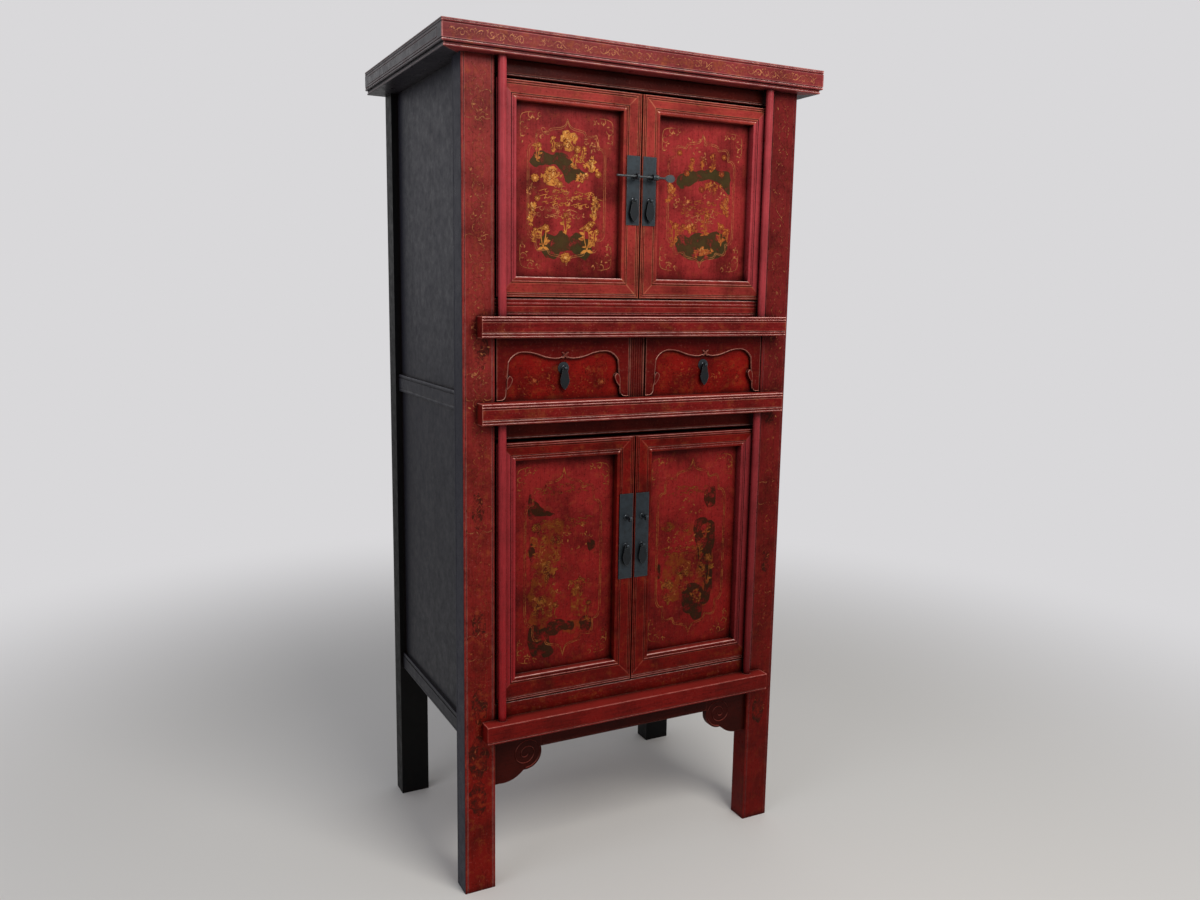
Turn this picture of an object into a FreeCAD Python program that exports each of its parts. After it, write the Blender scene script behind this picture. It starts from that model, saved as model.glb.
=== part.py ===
import FreeCAD, Part
import math
import os
import Sketcher

# Two-tier lacquered cabinet: four corner posts run from the floor to the cornice, two pairs of
# pivot-hung doors and a pair of drawers fill the front. Millimetres, +Z up, +X to the right,
# the front faces -Y. The origin is on the floor, under the middle of the overall box.

doc = FreeCAD.newDocument("Cabinet")

# Driving dimensions: name, value in mm (or degrees), what it measures.
SIZES = [
    ("opening_width", 697, "clear width between the two front posts"),
    ("carcass_depth", 568, "front face of the front posts to rear face of the rear posts"),
    ("post_width", 74, "post, measured across the front"),
    ("post_depth", 53, "post, measured front to back"),
    ("post_bead_inset", 6, "edge of a post to the quirk beside its bead"),
    ("quirk", 1.4, "width and depth of the scratched lines beside beads"),
    ("edge_round", 2.5, "worn rounding of the long edges"),
    ("leg_height", 370, "floor to the underside of the base rail"),
    ("base_rail_height", 42, "height of the base rail"),
    ("lower_tier_height", 678, "base rail to lower waist rail"),
    ("low_waist_height", 46, "height of the lower waist rail"),
    ("drawer_tier_height", 139, "lower waist rail to upper waist rail"),
    ("high_waist_height", 45, "height of the upper waist rail"),
    ("upper_tier_height", 527.5, "upper waist rail to the underside of the cornice"),
    ("cornice_height", 52.5, "height of the moulded cornice frame"),
    ("cornice_side_overhang", 49.5, "cornice beyond the side of the posts"),
    ("cornice_front_overhang", 33, "cornice in front of the posts"),
    ("cornice_member_width", 130, "plan width of each cornice member"),
    ("cornice_bead", 5, "beads of the cornice"),
    ("cornice_cap", 2.5, "flat cap above the upper bead"),
    ("cornice_step", 6, "set-back of the lower step of the cornice"),
    ("cornice_step_height", 9, "height of the lower step"),
    ("cornice_foot_bead", 4, "bead along the foot of the step"),
    ("incision_inset", 4, "incised line inside the flat of a cornice return"),
    ("incision_end", 28, "incised line in from each end of a cornice return"),
    ("top_board_thickness", 14, "boards set in the cornice frame"),
    ("top_board_drop", 4, "top boards below the upper edge of the frame"),
    ("rail_projection", 36, "projecting rails in front of the posts"),
    ("waist_overlap", 42, "projecting waist rail over the face of each post"),
    ("base_overlap", 32, "projecting base rail over the face of each post"),
    ("bead", 4.6, "width of the run beads"),
    ("reed", 6.6, "width of the reeds on the upper sill"),
    ("sill_setback", 4, "sill and reeded boards behind the post face"),
    ("frieze_setback", 12, "frieze boards behind the post face"),
    ("filler_thickness", 22, "thickness of sills and frieze boards"),
    ("upper_sill_height", 37.5, "reeded sill under the upper doors"),
    ("lower_sill_height", 35, "sill under the lower doors"),
    ("upper_frieze_height", 34.5, "frieze under the cornice"),
    ("lower_frieze_height", 39, "frieze under the lower waist rail"),
    ("apron_height", 50, "straight apron under the base rail"),
    ("apron_setback", 11, "apron behind the post face"),
    ("apron_thickness", 16, "apron board and its spandrels"),
    ("spandrel_width", 118, "carved bracket along the apron"),
    ("spandrel_height", 72, "carved bracket down the leg"),
    ("spandrel_toe", 14, "flat foot of the bracket beside the leg"),
    ("spandrel_toe_bulge", 7.7, "lower lobe of the bracket, off its chord"),
    ("spandrel_cusp_inset", 44, "cusp between the lobes, in from the end of the bracket"),
    ("spandrel_cusp_drop", 50, "cusp between the lobes, below the apron"),
    ("spandrel_lobe_bulge", 17.8, "upper lobe of the bracket, off its chord"),
    ("volute_rim", 36, "rib that leads to the scroll round the upper lobe, from the scroll's centre"),
    ("volute_radius", 31, "first half turn of the scroll carved on the bracket"),
    ("volute_inset", 39, "centre of the scroll, in from the end of the bracket"),
    ("volute_drop", 10, "centre of the scroll, below the apron"),
    ("volute_rib", 2, "half width of the scroll's rib, and its height"),
    ("side_rail_height", 43, "rails of the side and back frames"),
    ("low_rail_drop", 7, "lowest side rail below the base rail"),
    ("middle_rail_rise", 23, "middle side rail above the foot of the lower waist rail"),
    ("side_rail_bead", 8, "beads along both edges of a side rail"),
    ("side_rail_setback", 8, "side rails behind the outer face of the posts"),
    ("side_rail_thickness", 30, "thickness of the side rails"),
    ("panel_setback", 17, "side and back panels behind the outer face of the posts"),
    ("panel_thickness", 11, "side and back panels"),
    ("groove_depth", 6, "panel grooves in posts and rails"),
    ("floor_thickness", 14, "floors, drawer deck and shelf"),
    ("floor_tongue", 8, "floor boards let into the side rails"),
    ("bearer_width", 20, "battens under the upper floor and the shelf"),
    ("bearer_height", 30, "battens under the upper floor and the shelf"),
    ("shelf_height", 300, "shelf above the lower floor"),
    ("shelf_front_gap", 30, "front edge of the shelf behind the posts"),
    ("seam", 3, "gap between the two doors of a pair"),
    ("post_gap", 4, "gap between a door and its post"),
    ("door_foot_gap", 3.5, "gap under a door"),
    ("door_head_gap", 7, "gap over a door"),
    ("door_thickness", 34, "thickness of the door frames"),
    ("meeting_stile_width", 44.5, "door stile at the seam"),
    ("hinge_stile_width", 44.5, "door stile with the round pole"),
    ("door_top_rail", 39.5, "top rail of a door frame"),
    ("upper_bottom_rail", 43, "bottom rail of an upper door"),
    ("lower_bottom_rail", 54, "bottom rail of a lower door"),
    ("pole_radius", 9, "round pole that each door turns on"),
    ("pole_standout", 9, "axis of the pole in front of the door face"),
    ("pole_neck", 3, "outer edge of the door to the neck that joins it to the pole"),
    ("pivot_length", 14, "end of a pole inside its socket"),
    ("pivot_clearance", 0.06, "radial play of poles, pins and bars"),
    ("pole_foot_gap", 0.3, "foot of a pole above the bottom of its socket"),
    ("pole_head_gap", 3, "head of a pole below the top of its socket"),
    ("frame_bead", 3.3, "fine beads of a door frame"),
    ("frame_nosing", 7, "rounded inner edge of a door frame"),
    ("batten_width", 34, "batten across the back of a door panel"),
    ("door_panel_recess", 21, "door panel behind the face of its frame"),
    ("door_panel_thickness", 9, "door panels"),
    ("divider_width", 38, "reeded divider between the drawers"),
    ("divider_setback", 3, "divider behind the post face"),
    ("drawer_side_gap", 3.5, "gap each side of a drawer front"),
    ("drawer_head_gap", 2, "gap over a drawer front"),
    ("drawer_rest", 0.2, "drawer above the deck that it slides on"),
    ("drawer_front_thickness", 18, "drawer front board"),
    ("drawer_back_gap", 39, "drawer box to the rear posts"),
    ("drawer_side_inset", 7, "drawer side in from the end of its front"),
    ("drawer_side_height", 100, "height of the drawer box"),
    ("drawer_board", 12, "sides and back of a drawer box"),
    ("drawer_bottom", 8, "bottom of a drawer box"),
    ("guide_gap", 1, "gap between a drawer side and its guide"),
    ("guide_height", 22, "strips that guide the drawers"),
    ("arch_thickness", 8, "cusped frame applied to a drawer front"),
    ("arch_foot_width", 21, "upright of the cusped frame above its toe"),
    ("arch_toe_flare", 12, "curve of the cusped edge out to its toe"),
    ("arch_toe_height", 3, "toe of the cusped edge above the drawer's foot"),
    ("arch_shoulder_width", 27, "upright of the cusped frame at its shoulder"),
    ("arch_head", 29.8, "cusped frame above the crowns of its lobes"),
    ("arch_lobe_rise", 22, "springing of the cusped edge to the crown of a lobe"),
    ("arch_lobe_inset", 35, "crown of a lobe in from the upright"),
    ("arch_dip_fall", 15, "crown of a lobe to the dip beside the bow"),
    ("arch_dip_half", 20, "middle of the drawer to the dip"),
    ("arch_peak", 7, "rise of the cusped edge behind the bow"),
    ("arch_bead", 3.2, "width of the raised bead that follows the cusped edge"),
    ("arch_bead_height", 1.4, "raised bead in front of the cusped frame"),
    ("leaf_foot", 26, "foot of the carved leaf above the drawer's foot"),
    ("leaf_length", 30, "carved leaf"),
    ("leaf_width", 9, "carved leaf"),
    ("leaf_bulge", 2, "sides of the carved leaf, off their chords"),
    ("bow_reach", 6.5, "middle of the carved bow to the ends of its strands"),
    ("bow_strand", 2.4, "half width of a strand of the bow"),
    ("bow_relief", 2, "under strand of the bow in front of the cusped frame"),
    ("carving_relief", 3, "leaf and upper strand in front of the cusped frame"),
    ("plate_thickness", 1.5, "iron plates"),
    ("plate_seam_inset", 2.5, "door plate in from the meeting edge"),
    ("upper_plate_width", 33, "plates of the upper doors"),
    ("upper_plate_height", 150, "plates of the upper doors"),
    ("upper_plate_rise", 14.5, "middle of an upper door to the middle of its plate"),
    ("lower_plate_width", 35, "plates of the lower doors"),
    ("lower_plate_height", 204, "plates of the lower doors"),
    ("lower_plate_rise", 59.75, "middle of a lower door to the middle of its plate"),
    ("upper_eye_drop", 46, "top of an upper plate to its lock eye"),
    ("lower_eye_drop", 56, "top of a lower plate to its lock eye"),
    ("upper_pull_rise", 54, "foot of an upper plate to the axis of its pull"),
    ("lower_pull_rise", 80, "foot of a lower plate to the axis of its pull"),
    ("lock_eye_standout", 18, "axis of the lock eyes in front of the plates"),
    ("lock_eye_radius", 7, "outer radius of the lock eyes"),
    ("lock_eye_width", 5, "lock eyes, along the pin"),
    ("lock_pin_radius", 2.4, "radius of the lock pin"),
    ("lock_pin_left", 72, "seam to the free end of the lock pin"),
    ("lock_pin_right", 52, "seam to the root of the leaf on the lock pin"),
    ("lock_leaf_length", 26, "leaf on the lock pin"),
    ("lock_leaf_width", 17, "leaf on the lock pin"),
    ("lock_leaf_belly", 15.6, "root of the leaf to its widest place"),
    ("lock_leaf_bulge", 2, "sides of the leaf, off their chords"),
    ("lock_leaf_thickness", 2.5, "leaf on the lock pin"),
    ("collar_radius", 5, "coil that stops the lock pin"),
    ("collar_width", 6, "coil that stops the lock pin"),
    ("collar_gap", 0.3, "coil to the eye that stops it"),
    ("pull_eye_radius", 4.2, "outer radius of a pull's eye"),
    ("pull_eye_width", 4.4, "pull's eye, along its axis"),
    ("pull_standout", 7.5, "axis of a pull in front of its plate"),
    ("pull_bar_radius", 1.5, "bar that a pull swings on"),
    ("pull_length", 48, "pull, axis to tip"),
    ("pull_width", 22, "pull at its widest"),
    ("pull_shoulder", 11, "pull at its bar"),
    ("pull_belly", 26.4, "axis of a pull to its widest place"),
    ("pull_tip_bulge", 2.6, "edges down to the tip of a pull, off their chords"),
    ("pull_thickness", 2.5, "pull"),
    ("pull_slot_play", 0.5, "pull around its eye"),
    ("drawer_pull_drop", 22, "dip of the cusped edge to the axis of the pull"),
    ("rosette_radius", 13, "round plate behind a drawer pull"),
]


class Size:
    """A length together with the sheet formula that yields it."""

    def __init__(self, value, formula):
        self.value = float(value)
        self.formula = formula

    def __add__(self, other):
        other = as_size(other)
        return Size(self.value + other.value, f"({self.formula} + {other.formula})")

    def __sub__(self, other):
        other = as_size(other)
        return Size(self.value - other.value, f"({self.formula} - {other.formula})")

    def __mul__(self, other):
        other = as_size(other)
        return Size(self.value * other.value, f"({self.formula} * {other.formula})")

    def __truediv__(self, other):
        other = as_size(other)
        return Size(self.value / other.value, f"({self.formula} / {other.formula})")

    def __radd__(self, other):
        return as_size(other) + self

    def __rsub__(self, other):
        return as_size(other) - self

    def __rmul__(self, factor):
        return self * factor

    def __neg__(self):
        return self * -1


def as_size(number):
    if isinstance(number, Size):
        return number
    return Size(number, repr(float(number)))


class Sheet:
    """The spreadsheet, and its cells as Size attributes."""

    def __init__(self, rows):
        self.table = doc.addObject("Spreadsheet::Sheet", "Sizes")
        for row, (alias, value, note) in enumerate(rows, start=1):
            self.table.set(f"A{row}", note)
            self.table.set(f"B{row}", str(value))
            self.table.setAlias(f"B{row}", alias)
            setattr(self, alias, Size(value, f"Sizes.{alias}"))


s = Sheet(SIZES)
doc.recompute()

# Levels above the floor.
BASE_BOTTOM = s.leg_height
BASE_TOP = BASE_BOTTOM + s.base_rail_height
LOW_WAIST_BOTTOM = BASE_TOP + s.lower_tier_height
LOW_WAIST_TOP = LOW_WAIST_BOTTOM + s.low_waist_height
HIGH_WAIST_BOTTOM = LOW_WAIST_TOP + s.drawer_tier_height
HIGH_WAIST_TOP = HIGH_WAIST_BOTTOM + s.high_waist_height
POST_TOP = HIGH_WAIST_TOP + s.upper_tier_height
TOP = POST_TOP + s.cornice_height

# Planes across the width and the depth.
OPENING = s.opening_width / 2
HALF_WIDTH = OPENING + s.post_width
FRONT = (s.rail_projection - s.carcass_depth) / 2
BACK = FRONT + s.carcass_depth
RAIL_FRONT = FRONT - s.rail_projection
INNER_FRONT = FRONT + s.post_depth
INNER_BACK = BACK - s.post_depth
RAIL_OUTER = HALF_WIDTH - s.side_rail_setback
RAIL_INNER = RAIL_OUTER - s.side_rail_thickness
PANEL_OUTER = HALF_WIDTH - s.panel_setback
PANEL_INNER = PANEL_OUTER - s.panel_thickness

# Rails of the side and back frames, and the boards between them.
LOW_RAIL = BASE_BOTTOM - s.low_rail_drop
MIDDLE_RAIL = LOW_WAIST_BOTTOM + s.middle_rail_rise
PANEL_SPANS = [
    (LOW_RAIL + s.side_rail_height - s.groove_depth, MIDDLE_RAIL + s.groove_depth),
    (MIDDLE_RAIL + s.side_rail_height - s.groove_depth, POST_TOP),
]

# The axis of each pole, and the door faces.
DOOR_EDGE = OPENING - s.post_gap
DOOR_WIDTH = DOOR_EDGE - s.seam / 2
POLE_X = DOOR_EDGE - s.pole_radius
POLE_Y = FRONT - s.pole_standout

# Drawer fronts, from the divider to the post.
DRAWER_INNER = s.divider_width / 2 + s.drawer_side_gap
DRAWER_OUTER = OPENING - s.drawer_side_gap
DRAWER_HALF = (DRAWER_OUTER - DRAWER_INNER) / 2
DRAWER_FOOT = LOW_WAIST_TOP + s.drawer_rest
DRAWER_HEIGHT = s.drawer_tier_height - s.drawer_rest - s.drawer_head_gap
ARCH_CROWN = DRAWER_HEIGHT - s.arch_head
ARCH_DIP = ARCH_CROWN - s.arch_dip_fall
DRAWER_PULL = ARCH_DIP - s.drawer_pull_drop


class Tier:
    """Levels of one pair of doors, from the opening that they close."""

    def __init__(self, name, bottom, top, sill, frieze, foot_rail):
        self.name = name
        self.bottom = bottom
        self.top = top
        self.foot = bottom + sill + s.door_foot_gap
        self.height = top - frieze - s.door_head_gap - self.foot
        self.foot_rail = foot_rail

    def add_plates(self, width, height, rise, eye_drop, pull_rise):
        self.plate = (width, height)
        self.plate_bottom = self.foot + self.height / 2 + rise - height / 2
        self.eyes = (eye_drop, pull_rise)


UPPER_DOOR = Tier(
    "upper", HIGH_WAIST_TOP, POST_TOP, s.upper_sill_height, s.upper_frieze_height, s.upper_bottom_rail
)
UPPER_DOOR.add_plates(
    s.upper_plate_width, s.upper_plate_height, s.upper_plate_rise, s.upper_eye_drop, s.upper_pull_rise
)
LOWER_DOOR = Tier(
    "lower", BASE_TOP, LOW_WAIST_BOTTOM, s.lower_sill_height, s.lower_frieze_height, s.lower_bottom_rail
)
LOWER_DOOR.add_plates(
    s.lower_plate_width, s.lower_plate_height, s.lower_plate_rise, s.lower_eye_drop, s.lower_pull_rise
)

LEFT, RIGHT = -1, 1
NAMES = {LEFT: "left", RIGHT: "right"}
DIVIDER_REEDS = 5
VOLUTE_HALF_TURNS = 4
VOLUTE_SHRINK = 0.24
MITRE_SPARE = 1
nodes = []


def bind(obj, prop, size):
    """Tie a property to the sheet."""
    size = as_size(size)
    if "." not in prop:
        setattr(obj, prop, size.value)
    obj.setExpression(prop, size.formula)


def new_body(label, x=0, y=0, z=0):
    body = doc.addObject("PartDesign::Body", label)
    body.Label = label
    bind(body, "Placement.Base.x", x)
    bind(body, "Placement.Base.y", y)
    bind(body, "Placement.Base.z", z)
    return body


def new_sketch(body, plane, height):
    """Empty sketch on one of the body's own planes, moved along that plane's normal."""
    drawing = body.newObject("Sketcher::SketchObject", "Sketch")
    support = [item for item in body.Origin.OriginFeatures if item.Role == plane + "_Plane"][0]
    drawing.AttachmentSupport = [(support, "")]
    drawing.MapMode = "FlatFace"
    bind(drawing, "AttachmentOffset.Base.z", height)
    return drawing


def constrain(drawing, kind, size, *where):
    size = as_size(size)
    index = drawing.addConstraint(Sketcher.Constraint(kind, *where, size.value))
    if "Sizes." in size.formula:
        drawing.setExpression(f"Constraints[{index}]", size.formula)


def arc_between(start, end, radius):
    """Short arc from start to end; a positive radius turns to the left."""
    chord = end - start
    half = chord.Length / 2
    normal = FreeCAD.Vector(-chord.y, chord.x, 0).normalize()
    reach = math.sqrt(max(radius * radius - half * half, 0))
    turn = math.copysign(1, radius)
    centre = (start + end) / 2 + normal * (reach * turn)
    first, last = (start, end) if radius > 0 else (end, start)
    angles = [math.atan2(point.y - centre.y, point.x - centre.x) for point in (first, last)]
    if angles[1] < angles[0]:
        angles[1] += 2 * math.pi
    circle = Part.Circle(centre, FreeCAD.Vector(0, 0, 1), abs(radius))
    return Part.ArcOfCircle(circle, angles[0], angles[1])


def draw(drawing, outline, closed=True):
    """Run of corners. A corner is (u, v), or (u, v, radius) when an arc leads to it."""
    steps = len(outline) if closed else len(outline) - 1
    corners = [FreeCAD.Vector(as_size(item[0]).value, as_size(item[1]).value, 0) for item in outline]
    ends = []
    for step in range(steps):
        following = (step + 1) % len(outline)
        start, end = corners[step], corners[following]
        arc = outline[following][2:]
        if arc:
            radius = as_size(arc[0])
            index = drawing.addGeometry(arc_between(start, end, radius.value), False)
            turns_left = radius.value > 0
            ends.append((index, 1, 2) if turns_left else (index, 2, 1))
            constrain(drawing, "Radius", radius if turns_left else -radius, index)
        else:
            index = drawing.addGeometry(Part.LineSegment(start, end), False)
            ends.append((index, 1, 2))
    for step in range(steps):
        index, first, last = ends[step]
        if closed or step + 1 < steps:
            following, entry, _ = ends[(step + 1) % steps]
            drawing.addConstraint(Sketcher.Constraint("Coincident", index, last, following, entry))
        constrain(drawing, "DistanceX", outline[step][0], -1, 1, index, first)
        constrain(drawing, "DistanceY", outline[step][1], -1, 1, index, first)
    if not closed:
        index, first, last = ends[-1]
        constrain(drawing, "DistanceX", outline[-1][0], -1, 1, index, last)
        constrain(drawing, "DistanceY", outline[-1][1], -1, 1, index, last)


def draw_circle(drawing, u, v, radius):
    u, v, radius = as_size(u), as_size(v), as_size(radius)
    circle = Part.Circle(FreeCAD.Vector(u.value, v.value, 0), FreeCAD.Vector(0, 0, 1), radius.value)
    index = drawing.addGeometry(circle, False)
    constrain(drawing, "DistanceX", u, -1, 1, index, 3)
    constrain(drawing, "DistanceY", v, -1, 1, index, 3)
    constrain(drawing, "Radius", radius, index)


def extrude(body, kind, plane, outline, length, height=0, reverse=False, symmetric=False, inner=None):
    """Pad or Pocket of an outline, or of a circle given as a tuple (u, v, radius)."""
    drawing = new_sketch(body, plane, height)
    if isinstance(outline, tuple):
        draw_circle(drawing, *outline)
    else:
        draw(drawing, outline)
    if inner:
        draw(drawing, inner)
    doc.recompute([drawing])
    feature = body.newObject("PartDesign::" + kind, kind)
    feature.Profile = (drawing, [""])
    bind(feature, "Length", length)
    feature.Reversed = reverse
    if symmetric:
        feature.SideType = "Symmetric"
    before = body.Shape.Volume if kind == "Pocket" else 0
    doc.recompute()
    if kind == "Pocket" and not feature.Shape.Volume < before - 1e-3:
        raise ValueError(f"{body.Label}: a pocket removes nothing")
    return feature


def pad(body, plane, outline, length, **options):
    return extrude(body, "Pad", plane, outline, length, **options)


def cut(body, plane, outline, length, **options):
    return extrude(body, "Pocket", plane, outline, length, **options)


def rib_section(across, half, height):
    """Carved rib: brought to a ridge, its foot sunk in the face behind it."""
    return [(across - half, height / 2), (across + half, height / 2), (across, -height)]


def sweep(body, section, path):
    """Rib of the section carried along the path, mitred at the path's corners."""
    rib = body.newObject("PartDesign::AdditivePipe", "Rib")
    rib.Profile = (section, [""])
    rib.Spine = (path, [""])
    rib.Transition = "Right corner"
    doc.recompute()


def rectangle(left, bottom, right, top):
    return [(left, bottom), (right, bottom), (right, top), (left, top)]


def board(label, corner, opposite):
    """Plain board between two opposite corners."""
    spans = [
        sorted((as_size(near), as_size(far)), key=lambda plane: plane.value)
        for near, far in zip(corner, opposite)
    ]
    body = new_body(label, *[low for low, high in spans])
    width, depth, height = (high - low for low, high in spans)
    pad(body, "XY", rectangle(0, 0, width, depth), height)
    return body


def group(label, bodies):
    """Several solids of one sub-part."""
    bundle = doc.addObject("Part::Compound", label)
    bundle.Label = label
    bundle.Links = bodies
    return bundle


def node(item):
    """Register a sub-part: its label names its file."""
    nodes.append(item)
    return item


def arc_radius(du, dv, bulge):
    """Radius of the arc over the chord (du, dv) that stands off it by the bulge."""
    return (du * du + dv * dv) / (bulge * 8) + bulge / 2


def bead_radius(width):
    """Radius that brings the crown of a bead level with the face beside its quirks."""
    return arc_radius(width, as_size(0), s.quirk)


def beaded_face(top, bottom, beads_top, beads_bottom, bead):
    """Corners down a front face at depth 0, with beads run along its upper and lower edges."""
    quirk = s.quirk
    pitch = bead + quirk
    if beads_top:
        corners = []
        for run in range(beads_top):
            start = top - pitch * run
            corners += [(quirk, start), (quirk, start - bead, bead_radius(bead))]
        edge = top - pitch * beads_top
        corners += [(quirk, edge), (0, edge)]
    else:
        corners = [(s.edge_round, top), (0, top - s.edge_round, s.edge_round)]
    if beads_bottom:
        edge = bottom + pitch * beads_bottom
        corners += [(0, edge), (quirk, edge)]
        for run in range(beads_bottom, 0, -1):
            start = bottom + pitch * run - quirk
            corners += [(quirk, start), (quirk, start - bead, bead_radius(bead))]
    else:
        corners.append((0, bottom))
    return corners


# ------------------------------------------------------------------ posts and frames

def front_post(side):
    """Front corner post: beads run down its front edges and its side, a groove holds the panel."""
    body = new_body("post_front_" + NAMES[side], HALF_WIDTH * side, FRONT, 0)
    inward = -side
    width, depth, inset, rounding, quirk = (
        s.post_width, s.post_depth, s.post_bead_inset, s.edge_round, s.quirk
    )
    outline = [
        (0, depth),
        (0, depth - inset),
        (quirk * inward, depth - inset),
        (quirk * inward, depth - inset - quirk),
        (0, depth - inset - quirk),
        (0, rounding),
        (rounding * inward, 0, rounding * inward),
        (inset * inward, 0),
        (inset * inward, quirk),
        ((inset + quirk) * inward, quirk),
        ((inset + quirk) * inward, 0),
        ((width - inset - quirk) * inward, 0),
        ((width - inset - quirk) * inward, quirk),
        ((width - inset) * inward, quirk),
        ((width - inset) * inward, 0),
        ((width - rounding) * inward, 0),
        (width * inward, rounding, rounding * inward),
        (width * inward, depth),
    ]
    pad(body, "XY", outline, POST_TOP)
    near, far = s.panel_setback * inward, (s.panel_setback + s.panel_thickness) * inward
    groove = rectangle(near, depth - s.groove_depth, far, depth)
    cut(body, "XY", groove, POST_TOP - LOW_RAIL, height=LOW_RAIL, reverse=True)
    return node(body)


def back_post(side):
    """Rear corner post: plain, grooved for the side panel and for the back panel."""
    body = new_body("post_back_" + NAMES[side], HALF_WIDTH * side, BACK, 0)
    inward = -side
    width, depth, rounding = s.post_width, s.post_depth, s.edge_round
    outline = [
        (0, -depth),
        (width * inward, -depth),
        (width * inward, 0),
        (rounding * inward, 0),
        (0, -rounding, rounding * inward),
    ]
    pad(body, "XY", outline, POST_TOP)
    grooved = POST_TOP - LOW_RAIL
    near, far = s.panel_setback * inward, (s.panel_setback + s.panel_thickness) * inward
    groove = rectangle(near, -depth, far, s.groove_depth - depth)
    cut(body, "XY", groove, grooved, height=LOW_RAIL, reverse=True)
    near, far = (width - s.groove_depth) * inward, width * inward
    groove = rectangle(near, -s.panel_setback - s.panel_thickness, far, -s.panel_setback)
    cut(body, "XY", groove, grooved, height=LOW_RAIL, reverse=True)
    return node(body)


def side_rail(side, place, bottom, floor_top):
    """Side rail: a bead on each edge, grooves for its boards, a rebate for the floor behind it."""
    rail = new_body(f"side_rail_{place}_{NAMES[side]}", RAIL_OUTER * side, INNER_BACK, bottom)
    inward = -side
    thick, high, depth = s.side_rail_thickness, s.side_rail_height, s.groove_depth
    near = s.panel_setback - s.side_rail_setback
    far = near + s.panel_thickness
    floor = floor_top - bottom
    tongue = thick - s.floor_tongue
    outline = [
        (corner[0] * inward, corner[1]) + tuple(radius * inward for radius in corner[2:])
        for corner in beaded_face(high, 0, 1, 1, s.side_rail_bead)
    ]
    if place == "middle":
        outline += [(near * inward, 0), (near * inward, depth), (far * inward, depth), (far * inward, 0)]
    outline += [
        (thick * inward, 0),
        (thick * inward, floor - s.floor_thickness),
        (tongue * inward, floor - s.floor_thickness),
    ]
    if place == "middle":
        outline += [(tongue * inward, floor), (thick * inward, floor), (thick * inward, high)]
    else:
        outline.append((tongue * inward, high))
    outline += [
        (far * inward, high),
        (far * inward, high - depth),
        (near * inward, high - depth),
        (near * inward, high),
    ]
    pad(rail, "XZ", outline, INNER_BACK - INNER_FRONT)
    return rail


def side_frame(side):
    """Rails and floating boards that close one side."""
    rails = [
        side_rail(side, "low", LOW_RAIL, BASE_TOP),
        side_rail(side, "middle", MIDDLE_RAIL, LOW_WAIST_TOP),
    ]
    node(group("side_rails_" + NAMES[side], rails))
    boards = [
        board(
            f"side_board_{NAMES[side]}_{number}",
            (PANEL_OUTER * side, INNER_FRONT - s.groove_depth, bottom),
            (PANEL_INNER * side, INNER_BACK + s.groove_depth, top),
        )
        for number, (bottom, top) in enumerate(PANEL_SPANS)
    ]
    node(group("side_panels_" + NAMES[side], boards))


def back_frame():
    """Rails between the rear posts, and the floating boards in their grooves."""
    depth, high = s.groove_depth, s.side_rail_height
    thick = s.post_depth - s.side_rail_setback
    far = s.post_depth - s.panel_setback
    near = far - s.panel_thickness
    rails = []
    for place, bottom in (("low", LOW_RAIL), ("middle", MIDDLE_RAIL)):
        rail = new_body("back_rail_" + place, 0, INNER_BACK, bottom)
        outline = [(0, 0)]
        if place == "middle":
            outline += [(near, 0), (near, depth), (far, depth), (far, 0)]
        outline += [
            (thick, 0),
            (thick, high),
            (far, high),
            (far, high - depth),
            (near, high - depth),
            (near, high),
            (0, high),
        ]
        pad(rail, "YZ", outline, OPENING * 2, symmetric=True)
        rails.append(rail)
    node(group("back_rails", rails))
    reach = OPENING + depth
    boards = [
        board(
            f"back_board_{number}",
            (-reach, INNER_BACK + near, bottom),
            (reach, INNER_BACK + far, top),
        )
        for number, (bottom, top) in enumerate(PANEL_SPANS)
    ]
    node(group("back_panels", boards))


# ------------------------------------------------------------------ front members

def pole_sockets(body, base_y, face, upward):
    """Two blind holes for the ends of the poles, bored into a face of the member."""
    depth = s.pivot_length + (s.pole_head_gap if upward else s.pole_foot_gap)
    radius = s.pole_radius + s.pivot_clearance
    for side in (LEFT, RIGHT):
        hole = (POLE_X * side, POLE_Y - base_y, radius)
        cut(body, "XY", hole, depth, height=face, reverse=upward)


def moulded_rail(name, bottom, height, overlap, beads_top, beads_bottom, socket_faces):
    """Projecting rail: its moulded nosing laps over the posts, its tongue sits between them."""
    body = new_body(name, 0, RAIL_FRONT, bottom)
    lap = s.rail_projection
    outline = [(lap, 0), (lap, height)] + beaded_face(height, 0, beads_top, beads_bottom, s.bead)
    pad(body, "YZ", outline, (OPENING + overlap) * 2, symmetric=True)
    tongue = rectangle(lap, 0, lap + s.post_depth, height)
    pad(body, "YZ", tongue, OPENING * 2, symmetric=True)
    if socket_faces == "top":
        pole_sockets(body, RAIL_FRONT, height, upward=False)
    else:
        pole_sockets(body, RAIL_FRONT, 0, upward=True)
    return node(body)


def projecting_rails():
    """The rails that carry the poles: two at the waist, one at the foot."""
    moulded_rail(
        "waist_rail_upper", HIGH_WAIST_BOTTOM, s.high_waist_height, s.waist_overlap,
        beads_top=2, beads_bottom=2, socket_faces="top",
    )
    moulded_rail(
        "waist_rail_lower", LOW_WAIST_BOTTOM, s.low_waist_height, s.waist_overlap,
        beads_top=2, beads_bottom=2, socket_faces="bottom",
    )
    moulded_rail(
        "base_rail", BASE_BOTTOM, s.base_rail_height, s.base_overlap,
        beads_top=0, beads_bottom=1, socket_faces="top",
    )


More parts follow.
